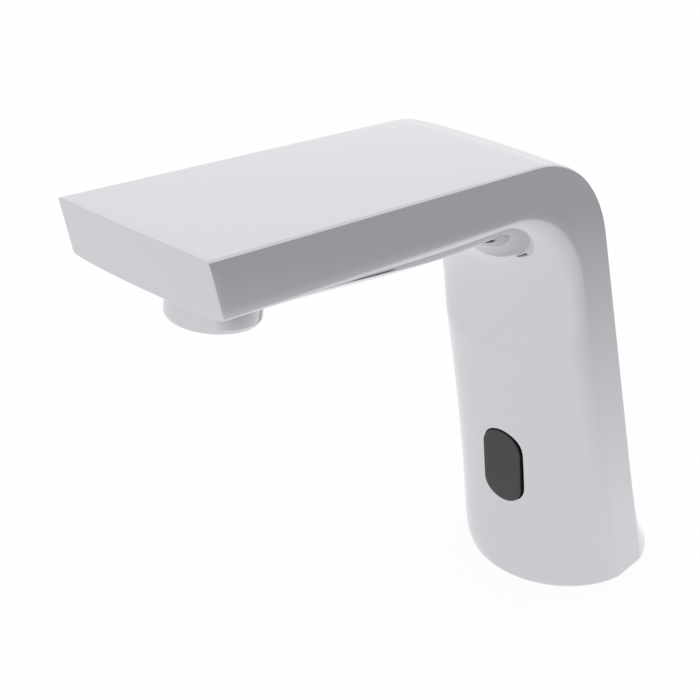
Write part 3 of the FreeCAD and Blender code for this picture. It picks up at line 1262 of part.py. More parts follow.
reach_out = BOSS_END + TOOL_REACH
spaces = [
    pad("base_recess", RECESS_RADIUS, RECESS_BACK, -OVERRUN, BASE_LIFT),
    rod("outlet_chamber", CHAMBER_RADIUS, NIPPLE_TOP - CHAMBER_TOP + OVERRUN,
        at(OUTLET, NONE, NONE, CHAMBER_TOP)),
    rod("nipple_seat", NIPPLE_FIT, reach_out - NIPPLE_TOP, at(OUTLET, NONE, NONE, NIPPLE_TOP)),
    rod("nipple_spot", SPOT_RADIUS, reach_out - NIPPLE_SHOULDER, at(OUTLET, NONE, NONE, NIPPLE_SHOULDER)),
    rod("housing_nest", NEST_RADIUS, reach_out - NEST_TOP, at(OUTLET, NONE, NONE, NEST_TOP)),
    rod("outlet_socket", SOCKET_RADIUS, OUT_SOCKET_REACH - OUT_SOCKET_DEPTH + OVERRUN,
        at(OUTLET, OUTLET_RIGHT, -OUT_SOCKET_DEPTH, OUTLET_TUBE_DEPTH, OUTWARD)),
    rod("outlet_groove", GROOVE_RADIUS, GROOVE_WIDTH,
        at(OUTLET, OUTLET_RIGHT, -OUT_GROOVE_REACH, OUTLET_TUBE_DEPTH, OUTWARD)),
    rod("outlet_way", TUBE_BORE, OUT_SOCKET_DEPTH + OVERRUN,
        at(OUTLET, OUTLET_RIGHT, NONE, OUTLET_TUBE_DEPTH, OUTWARD)),
    stadium("window_opening", OPENING_RADIUS, OPENING_HALF_LENGTH, -TOOL_REACH, LENS_BACK_DEPTH),
    stadium("window_pocket", WINDOW_POCKET_RADIUS, WINDOW_POCKET_HALF_LENGTH, POCKET_DEPTH, EAR_BACK),
    block("tray_nest", (TRAY_HALF_WIDTH + TRAY_GAP) * 2, EAR_BACK - LENS_BACK_DEPTH + TRAY_GAP,
          (TRAY_HALF_LENGTH + TRAY_GAP) * 2,
          at(WINDOW, -TRAY_HALF_WIDTH - TRAY_GAP, LENS_BACK_DEPTH - TRAY_GAP, -TRAY_HALF_LENGTH - TRAY_GAP)),
]
for side, sign in (("left", -1), ("right", 1)):
    spaces.append(rod("lug_bore_" + side, LUG_BORE, LUG_TOP - BASE_TOP,
                      shift(LUG_OFFSET * sign, -LUG_AHEAD, BASE_TOP - OVERRUN)))
for side, across, height in VALVE_SCREW_SPOTS:
    spaces.append(rod("valve_boss_bore_" + side, VALVE_BOSS_BORE, VALVE_BOSS_BORE_LENGTH + OVERRUN,
                      at(UPPER, across, VALVE_BOSS_FACE - OVERRUN, height, INWARD)))
for name, sign in (("upper", 1), ("lower", -1)):
    spaces.append(rod("ear_bore_" + name, EAR_HOLE, EAR_BORE_LENGTH + OVERRUN,
                      at(WINDOW, NONE, LENS_BACK_DEPTH + OVERRUN, EAR_SCREW_HEIGHT * sign, OUTWARD)))
opened = cut("body_open", outside, inner_space)
finish(cut("body_shell", opened, fused("body_spaces", spaces)), "body_shell")

doc.recompute()
os.makedirs("parts", exist_ok=True)
for piece in doc.Objects:
    if "Invalid" in piece.State or "Error" in piece.State:
        raise RuntimeError("could not build " + piece.Label)
for piece in made:
    shape = piece.Shape
    if shape.isNull() or not shape.isValid() or shape.Volume <= 0:
        raise RuntimeError("bad shape in " + piece.Label)
    shape.exportStep("parts/" + piece.Label + ".step")
    print(piece.Label, len(shape.Solids), round(shape.Volume, 1))
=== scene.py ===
import math

import bpy
import numpy as np
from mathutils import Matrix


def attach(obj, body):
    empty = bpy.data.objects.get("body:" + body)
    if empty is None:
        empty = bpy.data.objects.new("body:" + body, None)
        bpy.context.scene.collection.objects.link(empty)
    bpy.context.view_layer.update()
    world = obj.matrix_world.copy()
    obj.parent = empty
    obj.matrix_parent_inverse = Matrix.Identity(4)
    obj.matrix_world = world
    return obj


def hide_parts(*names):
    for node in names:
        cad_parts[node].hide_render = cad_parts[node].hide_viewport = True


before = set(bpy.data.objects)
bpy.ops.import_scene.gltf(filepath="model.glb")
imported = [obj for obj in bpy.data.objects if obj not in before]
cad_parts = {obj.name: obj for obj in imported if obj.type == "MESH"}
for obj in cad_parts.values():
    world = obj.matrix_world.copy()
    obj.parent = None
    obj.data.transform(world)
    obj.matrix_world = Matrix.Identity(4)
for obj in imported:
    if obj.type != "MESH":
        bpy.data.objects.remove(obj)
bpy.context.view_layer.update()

# Cast body
# One brass casting, ground, polished and chromed: a round foot, a leaning column with flat
# sides, a rounded bend and a wide rising spout. Its front and underside bulge, its inside is hollow.

MM = 0.001
FOOT_RADIUS = 31.25
FOOT_HALF_WIDTH = 30.5
TIP_HALF_WIDTH = 25.0
LEAN_ANGLE = math.radians(15.55)
TOP_RISE_ANGLE = math.radians(7.95)
UNDER_RISE_ANGLE = math.radians(7.3)
TIP_REACH = 192.8
TIP_HEIGHT = 189.4
TIP_DEPTH = 16.5
TIP_UNDERCUT_ANGLE = math.radians(13.0)
TIP_BOW = 0.5
BOW_LENGTH = 14.0
BEND_RADIUS = 45.0
COLUMN_CROWN = 10.8
BEND_CROWN = 12.3
TIP_CROWN = 1.2
CROWN_FALL = 47.0
CROWN_POWER = 1.6
ROUND_FULLNESS = 2.0
FULLNESS = 2.4
FOOT_BLEND = 4.0
BACK_CROWN = 0.8
HEEL_HEIGHT = 45.0
HEEL_CURVE = 1.15
LEVEL_SECTIONS = 85.0
COLUMN_ROUNDING = 0.55
SPOUT_ROUNDING = 0.7
TIP_ROUNDING = 0.5
WALL = 3.0
CROWN_INNER_SHARE = 0.85
FACE_COLUMNS = 40
CORNER_COLUMNS = 6
SIDE_COLUMNS = 8


def direction(angle):
    """Unit vector (y, z) of the side view at an angle from upright, leaning towards -Y."""
    return np.array([-math.sin(angle), math.cos(angle)])


def meet(point, along, other, other_along):
    """Point where two lines of the side view meet, from the ratio of two cross products."""
    across = along[0] * other_along[1] - along[1] * other_along[0]
    gap = other - point
    return point + along * ((gap[0] * other_along[1] - gap[1] * other_along[0]) / across)


def smooth(share):
    """Soft step from 0 to 1: three times the square less twice the cube."""
    share = np.clip(share, 0, 1)
    return share * share * (3 - 2 * share)


lean = direction(LEAN_ANGLE)
top_run = direction(math.pi / 2 - TOP_RISE_ANGLE)
under_run = direction(math.pi / 2 - UNDER_RISE_ANGLE)
tip_down = direction(math.pi + TIP_UNDERCUT_ANGLE)
tip_out = np.array([tip_down[1], -tip_down[0]])
foot_chord = math.sqrt(FOOT_RADIUS**2 - FOOT_HALF_WIDTH**2)
foot_crown = FOOT_RADIUS - foot_chord
tip_top = np.array([-TIP_REACH, TIP_HEIGHT])
tip_under = tip_top + tip_down * TIP_DEPTH
foot_back = np.array([foot_chord, 0.0])
foot_front = np.array([-foot_chord, 0.0])
outer_corner = meet(foot_back, lean, tip_top, top_run)
inner_corner = meet(foot_front, lean, tip_under, under_run)


def edge_line(foot, corner, run, tip, level, turned, ran):
    """One edge of the side faces, as (y, z): a straight climb to a level, then an arc about a centre
    square to the climb that turns it into the spout's direction, then a straight run to the tip."""
    whole_turn = math.acos(float(lean @ run))
    reach = BEND_RADIUS * math.tan(whole_turn / 2)
    inward = np.array([-lean[1], lean[0]])
    centre = corner - lean * reach + inward * BEND_RADIUS
    angle = (whole_turn * turned)[..., None]
    arc = centre + BEND_RADIUS * (lean * np.sin(angle) - inward * np.cos(angle))
    climb = foot + lean * (level / lean[1])[..., None]
    start = corner + run * reach
    straight = start + (tip - start) * ran[..., None]
    return np.where((ran > 0)[..., None], straight, np.where((turned > 0)[..., None], arc, climb))


def bend_start(corner, run):
    """Height at which an edge starts to bend: its corner less the radius times the half turn's tangent."""
    whole_turn = math.acos(float(lean @ run))
    return float((corner - lean * BEND_RADIUS * math.tan(whole_turn / 2))[1])


def sections(station):
    """Section lines of the body at stations 0 to 1 up the column, 2 at the end of the bend and 3 at
    the tip: back and front edge (y, z), height of the bulge, its fullness and that of the heel."""
    top_level, under_level = bend_start(outer_corner, top_run), bend_start(inner_corner, under_run)
    level = np.clip(station, 0, 1) * top_level
    turned, ran = np.clip(station - 1, 0, 1), np.clip(station - 2, 0, 1)
    tilting = smooth((level - LEVEL_SECTIONS) / (top_level - LEVEL_SECTIONS))
    lowered = level - (top_level - under_level) * tilting
    back = edge_line(foot_back, outer_corner, top_run, tip_top, level, turned, ran)
    front = edge_line(foot_front, inner_corner, under_run, tip_under, lowered, turned, ran)
    column = COLUMN_CROWN + (foot_crown - COLUMN_CROWN) / (1 + (lowered / CROWN_FALL) ** CROWN_POWER)
    spout = TIP_CROWN + (BEND_CROWN - TIP_CROWN) * np.sin(math.pi / 2 * (1 - ran))
    crown = np.where(ran > 0, spout, column + (BEND_CROWN - column) * smooth(turned))
    fullness = FULLNESS - (FULLNESS - ROUND_FULLNESS) * np.exp(-front[..., 1] / FOOT_BLEND)
    heel = (foot_crown - BACK_CROWN) * np.clip(1 - back[..., 1] / HEEL_HEIGHT, 0, 1) ** HEEL_CURVE
    return back, front, crown, fullness, heel + BACK_CROWN * (1 - ran)


def half_width(height):
    """Half width at a height: the flat sides spread evenly from the tip's level down to the foot."""
    return TIP_HALF_WIDTH + (FOOT_HALF_WIDTH - TIP_HALF_WIDTH) * (1 - height / TIP_HEIGHT)


def bulge(share, fullness):
    """Superellipse cut off at the edge of the flat: 1 in the middle, 0 at a share of 1."""
    edge_share = FOOT_HALF_WIDTH / FOOT_RADIUS
    edge = (1 - edge_share**fullness) ** (1 / fullness)
    here = (1 - (edge_share * np.clip(np.abs(share), 0, 1)) ** fullness) ** (1 / fullness)
    return (here - edge) / (1 - edge)


def share_at(distance, width, rise, fullness):
    """Share of the half width at which a bulge is a distance from its edge, found by halving."""
    low, high = np.zeros_like(width), np.ones_like(width)
    for _ in range(30):
        middle = (low + high) / 2
        reach = np.hypot(width * (1 - middle), rise * bulge(middle, fullness))
        low = np.where(reach > distance, middle, low)
        high = np.where(reach > distance, high, middle)
    return low


def rounded(first, corner, last):
    """Quadratic curve from first to last that rounds a corner; each is an array of (x, depth)."""
    step = np.linspace(0, 1, CORNER_COLUMNS)[None, :, None]
    first, corner, last = first[:, None], corner[:, None], last[:, None]
    return first * (1 - step) ** 2 + corner * 2 * step * (1 - step) + last * step**2


def outline(station, inset=0.0):
    """Closed outline of each section as (x, depth): from the middle of the back over its bulge, a
    rounded corner, the flat side and a second corner to the middle of the front, and mirrored back."""
    back, front, crown, fullness, heel = sections(station)
    depth = np.hypot(*(front - back).T)
    wide_back, wide_front = half_width(back[:, 1]) - inset, half_width(front[:, 1]) - inset
    round_two = np.full_like(depth, ROUND_FULLNESS)
    edge = COLUMN_ROUNDING + (SPOUT_ROUNDING - COLUMN_ROUNDING) * np.clip(station - 2, 0, 1) ** 0.7
    if inset:
        depth = depth + crown * (1 - CROWN_INNER_SHARE) - inset
        crown = crown * CROWN_INNER_SHARE
        heel = heel * 0
    start = np.full_like(depth, inset)
    back_end = share_at(edge, wide_back, heel, round_two)
    front_end = share_at(edge, wide_front, crown, fullness)
    fan = np.sin(np.linspace(0, math.pi / 2, FACE_COLUMNS))[None]
    across = fan * back_end[:, None]
    hollow = start[:, None] - heel[:, None] * bulge(across, round_two[:, None])
    back_part = np.stack((across * wide_back[:, None], hollow), 2)
    across = fan[:, ::-1] * front_end[:, None]
    swell = depth[:, None] + crown[:, None] * bulge(across, fullness[:, None])
    front_part = np.stack((across * wide_front[:, None], swell), 2)
    side_start = np.stack((wide_back, start + edge), 1)
    side_end = np.stack((wide_front, depth - edge), 1)
    first_corner = rounded(back_part[:, -1], np.stack((wide_back, start), 1), side_start)
    second_corner = rounded(side_end, np.stack((wide_front, depth), 1), front_part[:, 0])
    along = np.linspace(0, 1, SIDE_COLUMNS)[None, :, None]
    side = side_start[:, None] * (1 - along) + side_end[:, None] * along
    half = (back_part, first_corner[:, 1:], side[:, 1:], second_corner[:, 1:], front_part[:, 1:])
    half = np.concatenate(half, 1)
    return np.concatenate((half, half[:, -2:0:-1] * np.array([-1.0, 1.0])), 1)


def placed(shape, station):
    """Outline points (x, depth) set out from the back edge along their section lines, as (x, y, z)."""
    back, front = sections(station)[:2]
    ahead = (front - back) / np.hypot(*(front - back).T)[:, None]
    return np.concatenate((shape[..., :1], back[:, None] + ahead[:, None] * shape[..., 1:]), 2)


def bowed(points):
    """Points near the tip moved out along the spout, most in the middle and not at all at the sides:
    the bow times one less the square of the share of the half width, fading out behind the end."""
    behind = (tip_top - points[..., 1:]) @ tip_out
    swell = TIP_BOW * (1 - (points[..., 0] / TIP_HALF_WIDTH) ** 2) * (1 - smooth(behind / BOW_LENGTH))
    moved = points.copy()
    moved[..., 1:] += top_run * swell[..., None]
    return moved


def joined(lower, upper):
    """Quads between two closed rows of point numbers, or between each row and the next."""
    return np.stack((lower, upper, np.roll(upper, -1, -1), np.roll(lower, -1, -1)), -1).reshape(-1, 4)


def end_cap(ring, first):
    """Point grid that fills a closed ring whose four sides are its back, right, front and left. Each
    inner point is the mean of the two straight blends of opposite sides, less the blend of the corners."""
    half_side = CORNER_COLUMNS * 2 + SIDE_COLUMNS - 4
    wide = FACE_COLUMNS - 1
    number = np.arange(len(ring))
    top = np.concatenate((number[-wide:], number[: wide + 1]))
    right = number[wide : wide + half_side + 2]
    low_middle = wide * 2 + half_side + 1
    low = number[low_middle - wide : low_middle + wide + 1][::-1]
    left = number[low_middle + wide : low_middle + wide + half_side + 2][::-1]
    across = ((ring[top, 0] - ring[top[0], 0]) / (ring[top[-1], 0] - ring[top[0], 0]))[None, :, None]
    along = np.linspace(0, 1, len(right))[:, None, None]
    fill = (1 - along) * ring[top] + along * ring[low]
    fill = fill + (1 - across) * ring[left][:, None] + across * ring[right][:, None]
    fill = fill - (1 - along) * ((1 - across) * ring[top[0]] + across * ring[top[-1]])
    fill = fill - along * ((1 - across) * ring[low[0]] + across * ring[low[-1]])
    inner = fill[1:-1, 1:-1]
    grid = np.empty(fill.shape[:2], int)
    grid[1:-1, 1:-1] = np.arange(inner[..., 0].size).reshape(inner.shape[:2]) + len(ring)
    grid[0], grid[-1], grid[:, 0], grid[:, -1] = top, low, left, right
    quads = np.stack((grid[:-1, :-1], grid[:-1, 1:], grid[1:, 1:], grid[1:, :-1]), -1).reshape(-1, 4)
    return inner.reshape(-1, 3), quads + first


class Surface:
    """Points and faces of one piece, gathered part by part."""

    def __init__(self):
        self.points, self.faces, self.total = [], [], 0

    def add(self, points):
        """Takes an array of points in millimetres and gives the array of their numbers."""
        numbers = np.arange(points[..., 0].size).reshape(points.shape[:-1]) + self.total
        self.points.append(points.reshape(-1, 3))
        self.total += numbers.size
        return numbers

    def make(self, name):
        """The piece's object, smoothly shaded."""
        mesh = bpy.data.meshes.new(name)
        faces = [face for group in self.faces for face in group.tolist()]
        mesh.from_pydata((np.concatenate(self.points) * MM).tolist(), [], faces)
        mesh.shade_smooth()
        item = bpy.data.objects.new(name, mesh)
        bpy.context.scene.collection.objects.link(item)
        return item


bend_reach = BEND_RADIUS * math.tan(math.acos(float(lean @ top_run)) / 2)
straight_run = np.hypot(*(tip_top - outer_corner)) - bend_reach
last_station = 3 - TIP_ROUNDING / straight_run
foot_rows = np.linspace(0, 0.12, 22)
column_rows = np.linspace(0.12, 1, 56)[1:]
bend_rows = np.linspace(1, 2, 27)[1:]
spout_rows = np.linspace(2, last_station, 46)[1:]
station = np.concatenate((foot_rows, column_rows, bend_rows, spout_rows))
skin = bowed(placed(outline(station), station))
body = Surface()
skin_numbers = body.add(skin)
row_count, column_count = skin_numbers.shape
front_middle = column_count // 2

# Openings of the body
# The casting is milled through for the sensor window, a slot with round ends, and spot-faced
# under the tip for the aerator. Both have a slightly broken edge.

WINDOW_HEIGHT = 48.3
WINDOW_REACH = 37.6
WINDOW_TILT = math.radians(8.4)
SLOT_RADIUS = 7.5
SLOT_HALF_LENGTH = 14.8
SLOT_ROUNDING = 0.35
SLOT_DEPTH = 2.8
OUTLET_SETBACK = 29.04
NEST_RADIUS = 12.5
NEST_ROUNDING = 0.15
NEST_TOP = 19.6
PATCH_RINGS = 7
ROLL_STEPS = 5


def front_point(across, station):
    """Point of the bulging front or underside at a distance across: its edge plus the bulge there,
    straight on along the section line."""
    back, front, crown, fullness, _ = sections(station)
    ahead = (front - back) / np.linalg.norm(front - back, axis=-1)[..., None]
    rise = crown * bulge(across / half_width(front[..., 1]), fullness)
    return bowed(np.concatenate((across[..., None], front + ahead * rise[..., None]), -1))


def station_at(across, along, centre, axis):
    """Station at which the front is a distance along an axis from a centre, found by halving."""
    low, high = np.zeros_like(across), np.full_like(across, last_station)
    for _ in range(40):
        middle = (low + high) / 2
        past = (front_point(across, middle) - centre) @ axis > along
        high, low = np.where(past, middle, high), np.where(past, low, middle)
    return low


def slot_reach(angle, radius, half_length):
    """Distance from the middle of a slot to its edge in a direction from its width: its flat side,
    or the far end of a chord of its round end."""
    offset = half_length - radius
    cosine, sine = np.abs(np.cos(angle)), np.abs(np.sin(angle))
    side = radius / np.maximum(cosine, 1e-9)
    arc = offset * sine + np.sqrt(np.maximum(radius**2 - (offset * cosine) ** 2, 0))
    return np.where(side * sine <= offset, side, arc)


def opening(centre, along_axis, inward, radius, half_length, rounding, depth, reach):
    """Cuts an opening: a block of the skin's quads gives way to rings that blend its border into the
    edge of the slot, then roll over the edge, run straight in and close with a flat floor."""
    here = station_at(np.zeros(2), np.array([-reach[1], reach[1]]), centre, along_axis)
    low_row, high_row = (int(np.abs(station - value).argmin()) for value in here)
    side = np.abs(skin[low_row, front_middle : front_middle + FACE_COLUMNS, 0] + reach[0]).argmin()
    right, left = front_middle - int(side), front_middle + int(side)
    rows = np.concatenate((
        np.full(left - right, low_row), np.arange(low_row, high_row),
        np.full(left - right, high_row), np.arange(high_row, low_row, -1),
    ))
    columns = np.concatenate((
        np.arange(right, left), np.full(high_row - low_row, left),
        np.arange(left, right, -1), np.full(high_row - low_row, right),
    ))
    border = skin[rows, columns]
    angle = np.arctan2((border - centre) @ along_axis, border[:, 0])

    def slot(grown):
        """Edge of the slot, grown a little, as across and along, in the directions of the border."""
        far = slot_reach(angle, radius + grown, half_length + grown)
        return far * np.cos(angle), far * np.sin(angle)

    across, along = slot(rounding)
    edge_station = station_at(across, along, centre, along_axis)
    share = np.linspace(0, 1, PATCH_RINGS)[1:, None]
    blend = share * (2 - share)
    patch = front_point(
        border[:, 0] * (1 - blend) + across * blend,
        station[rows] * (1 - blend) + edge_station * blend,
    )
    across, along = slot(0.0)
    wide = patch[-1]
    outer_across, outer_along = slot(rounding)
    towards = (across - outer_across)[:, None] * np.array([1.0, 0, 0])
    towards = towards + (along - outer_along)[:, None] * along_axis
    roll = np.linspace(0, math.pi / 2, ROLL_STEPS)[1:, None, None]
    edge = wide + towards * np.sin(roll) + inward * rounding * (1 - np.cos(roll))
    short = depth - (edge[-1] - centre) @ inward
    floor_ring = edge[-1] + inward * short[:, None]
    rings = body.add(np.concatenate((patch, edge, floor_ring[None])))
    rings = np.concatenate((skin_numbers[rows, columns][None], rings))
    body.faces.append(joined(rings[:-1], rings[1:]))
    middle = body.add((centre + inward * depth)[None])
    fan = np.stack((rings[-1], np.full(angle.size, middle[0]), np.roll(rings[-1], -1)), 1)
    body.faces.append(fan)
    return slice(low_row, high_row), slice(right, left)


window_in = np.array([0.0, math.cos(WINDOW_TILT), math.sin(WINDOW_TILT)])
window_up = np.array([0.0, -math.sin(WINDOW_TILT), math.cos(WINDOW_TILT)])
window_centre = np.array([0.0, -WINDOW_REACH, WINDOW_HEIGHT])
outlet_top = np.concatenate(([0.0], tip_top - top_run * OUTLET_SETBACK))
outlet_down = np.array([0.0, -top_run[1], top_run[0]])
outlet_ahead = np.array([0.0, top_run[0], top_run[1]])
kept = np.ones((row_count - 1, column_count), bool)
for block in (
    opening(window_centre, window_up, window_in, SLOT_RADIUS, SLOT_HALF_LENGTH, SLOT_ROUNDING, SLOT_DEPTH,
            (10.5, 18.5)),
    opening(outlet_top, outlet_ahead, -outlet_down, NEST_RADIUS, NEST_RADIUS, NEST_ROUNDING, -NEST_TOP,
            (15.5, 15.5)),
):
    kept[block] = False
quads = joined(skin_numbers[:-1], skin_numbers[1:]).reshape(row_count - 1, column_count, 4)
body.faces.append(quads[kept])

# Tip of the spout
# The end of the casting is cut off flat, leaning back under the tip, and its rim is eased.

roll = np.linspace(0, math.pi / 2, ROLL_STEPS)[1:]
end_shape = outline(np.array([3.0]))[0]
end_middle = np.array([0.0, TIP_DEPTH / 2])
end_size = np.array([TIP_HALF_WIDTH, TIP_DEPTH / 2])
shrink = 1 - TIP_ROUNDING * (1 - np.cos(roll))[:, None, None] / end_size
rim = placed((end_shape - end_middle) * shrink + end_middle, np.full(roll.size, 3.0))
rim[..., 1:] -= top_run * (TIP_ROUNDING * (1 - np.sin(roll)))[:, None, None]
rim = bowed(rim)
rim_numbers = body.add(rim)
rim_numbers = np.concatenate((skin_numbers[-1:], rim_numbers))
body.faces.append(joined(rim_numbers[:-1], rim_numbers[1:]))
inner, cap_quads = end_cap(rim[-1], rim_numbers[-1, 0])
body.add(inner)
body.faces.append(cap_quads[:, ::-1])

# Hollow of the body
# The casting is about 3 mm thick. Below, a shallow recess takes the gasket and opens into the foot.

RECESS_RADIUS = 28.4
RECESS_BACK = 14.2
RECESS_TOP = 2.0


def recess(angle, height):
    """Ring of the gasket's recess: a circle cut off by a straight back edge."""
    sine = np.sin(angle)
    straight = np.minimum(RECESS_RADIUS, RECESS_BACK / np.maximum(sine, 1e-6))
    reach = np.where(sine > 0, straight, RECESS_RADIUS)
    return np.stack((reach * np.cos(angle), reach * sine, np.full_like(angle, height)), 1)


first_level = RECESS_TOP / bend_start(outer_corner, top_run)
hollow_station = np.concatenate((
    np.linspace(first_level, 1, 30),
    np.linspace(1, 2, 14)[1:],
    np.linspace(2, 3 - WALL / straight_run, 22)[1:],
))
hollow = placed(outline(hollow_station, WALL), hollow_station)
turn = np.arctan2(skin[0, :, 1], skin[0, :, 0])
rings = np.stack((recess(turn, 0.0), recess(turn, RECESS_TOP)))
underside = np.concatenate((skin_numbers[:1], body.add(rings), body.add(hollow)))
body.faces.append(joined(underside[1:], underside[:-1]))
inner, cap_quads = end_cap(hollow[-1], underside[-1, 0])
body.add(inner)
body.faces.append(cap_quads)
cast_body = body.make("cast_body")
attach(cast_body, "tap")
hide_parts("body_shell")


def linear(code):
    """sRGB hex colour to linear red, green, blue and alpha: the standard's two-part curve undone."""
    parts = [int(code[spot : spot + 2], 16) / 255 for spot in (1, 3, 5)]
    return [part / 12.92 if part <= 0.04045 else ((part + 0.055) / 1.055) ** 2.4 for part in parts] + [1.0]


def add_node(tree, kind, inputs=None, **settings):
    """Adds a node with its settings; its inputs are plain values or other nodes' outputs."""
    item = tree.nodes.new(kind)
    for key, value in settings.items():
        setattr(item, key, value)
    for key, value in (inputs or {}).items():
        if isinstance(value, bpy.types.NodeSocket):
            tree.links.new(value, item.inputs[key])
        else:
            item.inputs[key].default_value = value
    return item


def finish(name, shape, **plain):
    """Material named for what it is. The shape function adds its pattern and gives the shader inputs
    that vary over the surface, and the rest are plain values on the shader's own sockets."""
    made = bpy.data.materials.new(name)
    made.use_nodes = True
    tree = made.node_tree
    shader = tree.nodes["Principled BSDF"]
    place = add_node(tree, "ShaderNodeTexCoord").outputs["Object"]
    for key, value in plain.items():
        shader.inputs[key.replace("_", " ")].default_value = value
    for key, value in shape(tree, place).items():
        tree.links.new(value, shader.inputs[key])
    return made


def dressed(material, *items):
    """Gives pieces or CAD nodes their one material."""
    for item in items:
        item = bpy.data.objects[item] if isinstance(item, str) else item
        item.data.materials.clear()
        item.data.materials.append(material)


def per_mm(size):
    """Texture scale whose pattern repeats about every size millimetres, in a scene in metres."""
    return 1 / (size * MM)


def between(tree, share, low, high):
    """Node that turns a share from 0 to 1 into a value from low to high."""
    return add_node(tree, "ShaderNodeMapRange", {"Value": share, "To Min": low, "To Max": high})


def raised(tree, height, strength, depth):
    """Bump node for a pattern's height, at most a depth in millimetres."""
    return add_node(tree, "ShaderNodeBump", {"Height": height, "Strength": strength, "Distance": depth * MM})


# Chrome plate: a hard, faintly cool mirror. Buffing before plating leaves a haze with marks some
# 12 mm apart, which shows only as a slight change in sharpness.
def buffed(tree, place):
    """Roughness between two close values, after soft noise."""
    haze = add_node(tree, "ShaderNodeTexNoise", {"Vector": place, "Scale": per_mm(12), "Detail": 2.0})
    rough = between(tree, haze.outputs["Fac"], 0.03, 0.06)
    return {"Roughness": rough.outputs["Result"]}


chrome = finish("chrome_plate", buffed, Base_Color=linear("#CBCCD0"), Metallic=1.0)
dressed(chrome, cast_body)

# Sensor window
# Slot-shaped lens of smoked acrylic that only infrared light passes. Its flat face stands about a
# millimetre proud of the bulging column, and its rim is near black as painted shade on its side wall; a
# flange holds it.

LENS_RADIUS = 7.3
LENS_HALF_LENGTH = 14.7
LENS_STAND = 1.0
LENS_EASE = 0.15
LENS_BACK = 2.75
LENS_COLUMNS = 96


def slot_rings(grown, depth):
    """Rings of the slot's outline in the window's frame, each grown by a distance at a depth."""
    angle = np.linspace(0, 2 * math.pi, LENS_COLUMNS, endpoint=False)[None]
    grown, depth = np.array(grown)[:, None], np.array(depth)[:, None, None]
    far = slot_reach(angle, LENS_RADIUS + grown, LENS_HALF_LENGTH + grown)[..., None]
    across = far * np.cos(angle)[..., None] * np.array([1.0, 0, 0])
    return window_centre + across + far * np.sin(angle)[..., None] * window_up + depth * window_in


lens = Surface()
turn = np.linspace(0, math.pi / 2, ROLL_STEPS)
rings = lens.add(slot_rings(
    np.concatenate(([-3.0, -1.0], LENS_EASE * (np.cos(turn[::-1]) - 1), [0.0])),
    np.concatenate(([-LENS_STAND] * 2, LENS_EASE * (1 - np.sin(turn[::-1])) - LENS_STAND, [LENS_BACK])),
))
lens.faces.append(joined(rings[:-1], rings[1:]))
for ring, depth, facing in ((rings[0], -LENS_STAND, 1), (rings[-1], LENS_BACK, -1)):
    middle = np.full(LENS_COLUMNS, lens.add((window_centre + window_in * depth)[None])[0])
    lens.faces.append(np.stack((ring, np.roll(ring, -1), middle), 1)[:, ::facing])
sensor_lens = lens.make("sensor_lens")
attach(sensor_lens, "tap")
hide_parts("sensor_window")


# Smoked acrylic: near black with a soft gloss, its face polished flat in the mould.
def smoked(tree, place):
    """Colour and roughness between two close values, after fine noise."""
    cloud = add_node(tree, "ShaderNodeTexNoise", {"Vector": place, "Scale": per_mm(6), "Detail": 3.0})
    tone = add_node(tree, "ShaderNodeMix", {"Factor": cloud.outputs["Fac"]}, data_type="RGBA")
    tone.inputs["A"].default_value = linear("#242425")
    tone.inputs["B"].default_value = linear("#28282A")
    rough = between(tree, cloud.outputs["Fac"], 0.2, 0.28)
    return {"Base Color": tone.outputs["Result"], "Roughness": rough.outputs["Result"]}


# Near-black colour on the lens's rim, painted shade for its side wall: matt, with a fine tooth.
def painted(tree, place):
    """Roughness between two high values, after noise about 0.5 mm across."""
    tooth = add_node(tree, "ShaderNodeTexNoise", {"Vector": place, "Scale": per_mm(0.5), "Detail": 2.0})
    rough = between(tree, tooth.outputs["Fac"], 0.6, 0.75)
    return {"Roughness": rough.outputs["Result"]}


dressed(finish("smoked_acrylic", smoked, IOR=1.49), sensor_lens)
# The rim's near-black colour is painted shade on the lens's side wall.
sensor_lens.data.materials.append(finish("lens_rim_painted_shade", painted, Base_Color=linear("#0B0B0B"), IOR=1.3))
rim_faces = np.arange(len(sensor_lens.data.polygons)) // LENS_COLUMNS
sensor_lens.data.polygons.foreach_set("material_index", (rim_faces == len(rings) - 2).astype(np.int32))

# Aerator housing
# Turned brass ring, polished and chromed, that screws onto the outlet and holds the aerator by its
# inner lip. Its lower edge has a small bevel.

HOUSING_COLUMNS = 128
HOUSING_PROFILE = np.array([
    (10.95, 19.7), (12.3, 19.7), (12.3, 27.3), (11.6, 28.5), (9.0, 28.5),
    (9.0, 27.5), (10.5, 27.5), (10.5, 25.5), (10.95, 25.5),
])
HOUSING_EASE = np.array([0.1, 0.2, 0.25, 0.25, 0.2, 0.1, 0.05, 0.05, 0.05])


def eased(profile, ease):
    """Closed profile with each corner replaced by a quadratic curve that starts and ends a distance
    from it on its two sides."""
    before, after = np.roll(profile, 1, 0) - profile, np.roll(profile, -1, 0) - profile
    first = profile + before / np.linalg.norm(before, axis=1)[:, None] * ease[:, None]
    last = profile + after / np.linalg.norm(after, axis=1)[:, None] * ease[:, None]
    step = np.linspace(0, 1, ROLL_STEPS)[None, :, None]
    first, corner, last = first[:, None], profile[:, None], last[:, None]
    curve = first * (1 - step) ** 2 + corner * 2 * step * (1 - step) + last * step**2
    return curve.reshape(-1, 2)


def turned(profile, columns):
    """Rings of a turned piece about the outlet's axis, from (radius, depth below the top) pairs."""
    angle = np.linspace(0, 2 * math.pi, columns, endpoint=False)[None, :, None]
    radius, depth = profile[:, None, :1], profile[:, None, 1:]
    around = np.cos(angle) * np.array([1.0, 0, 0]) + np.sin(angle) * outlet_ahead
    return outlet_top + radius * around + depth * outlet_down


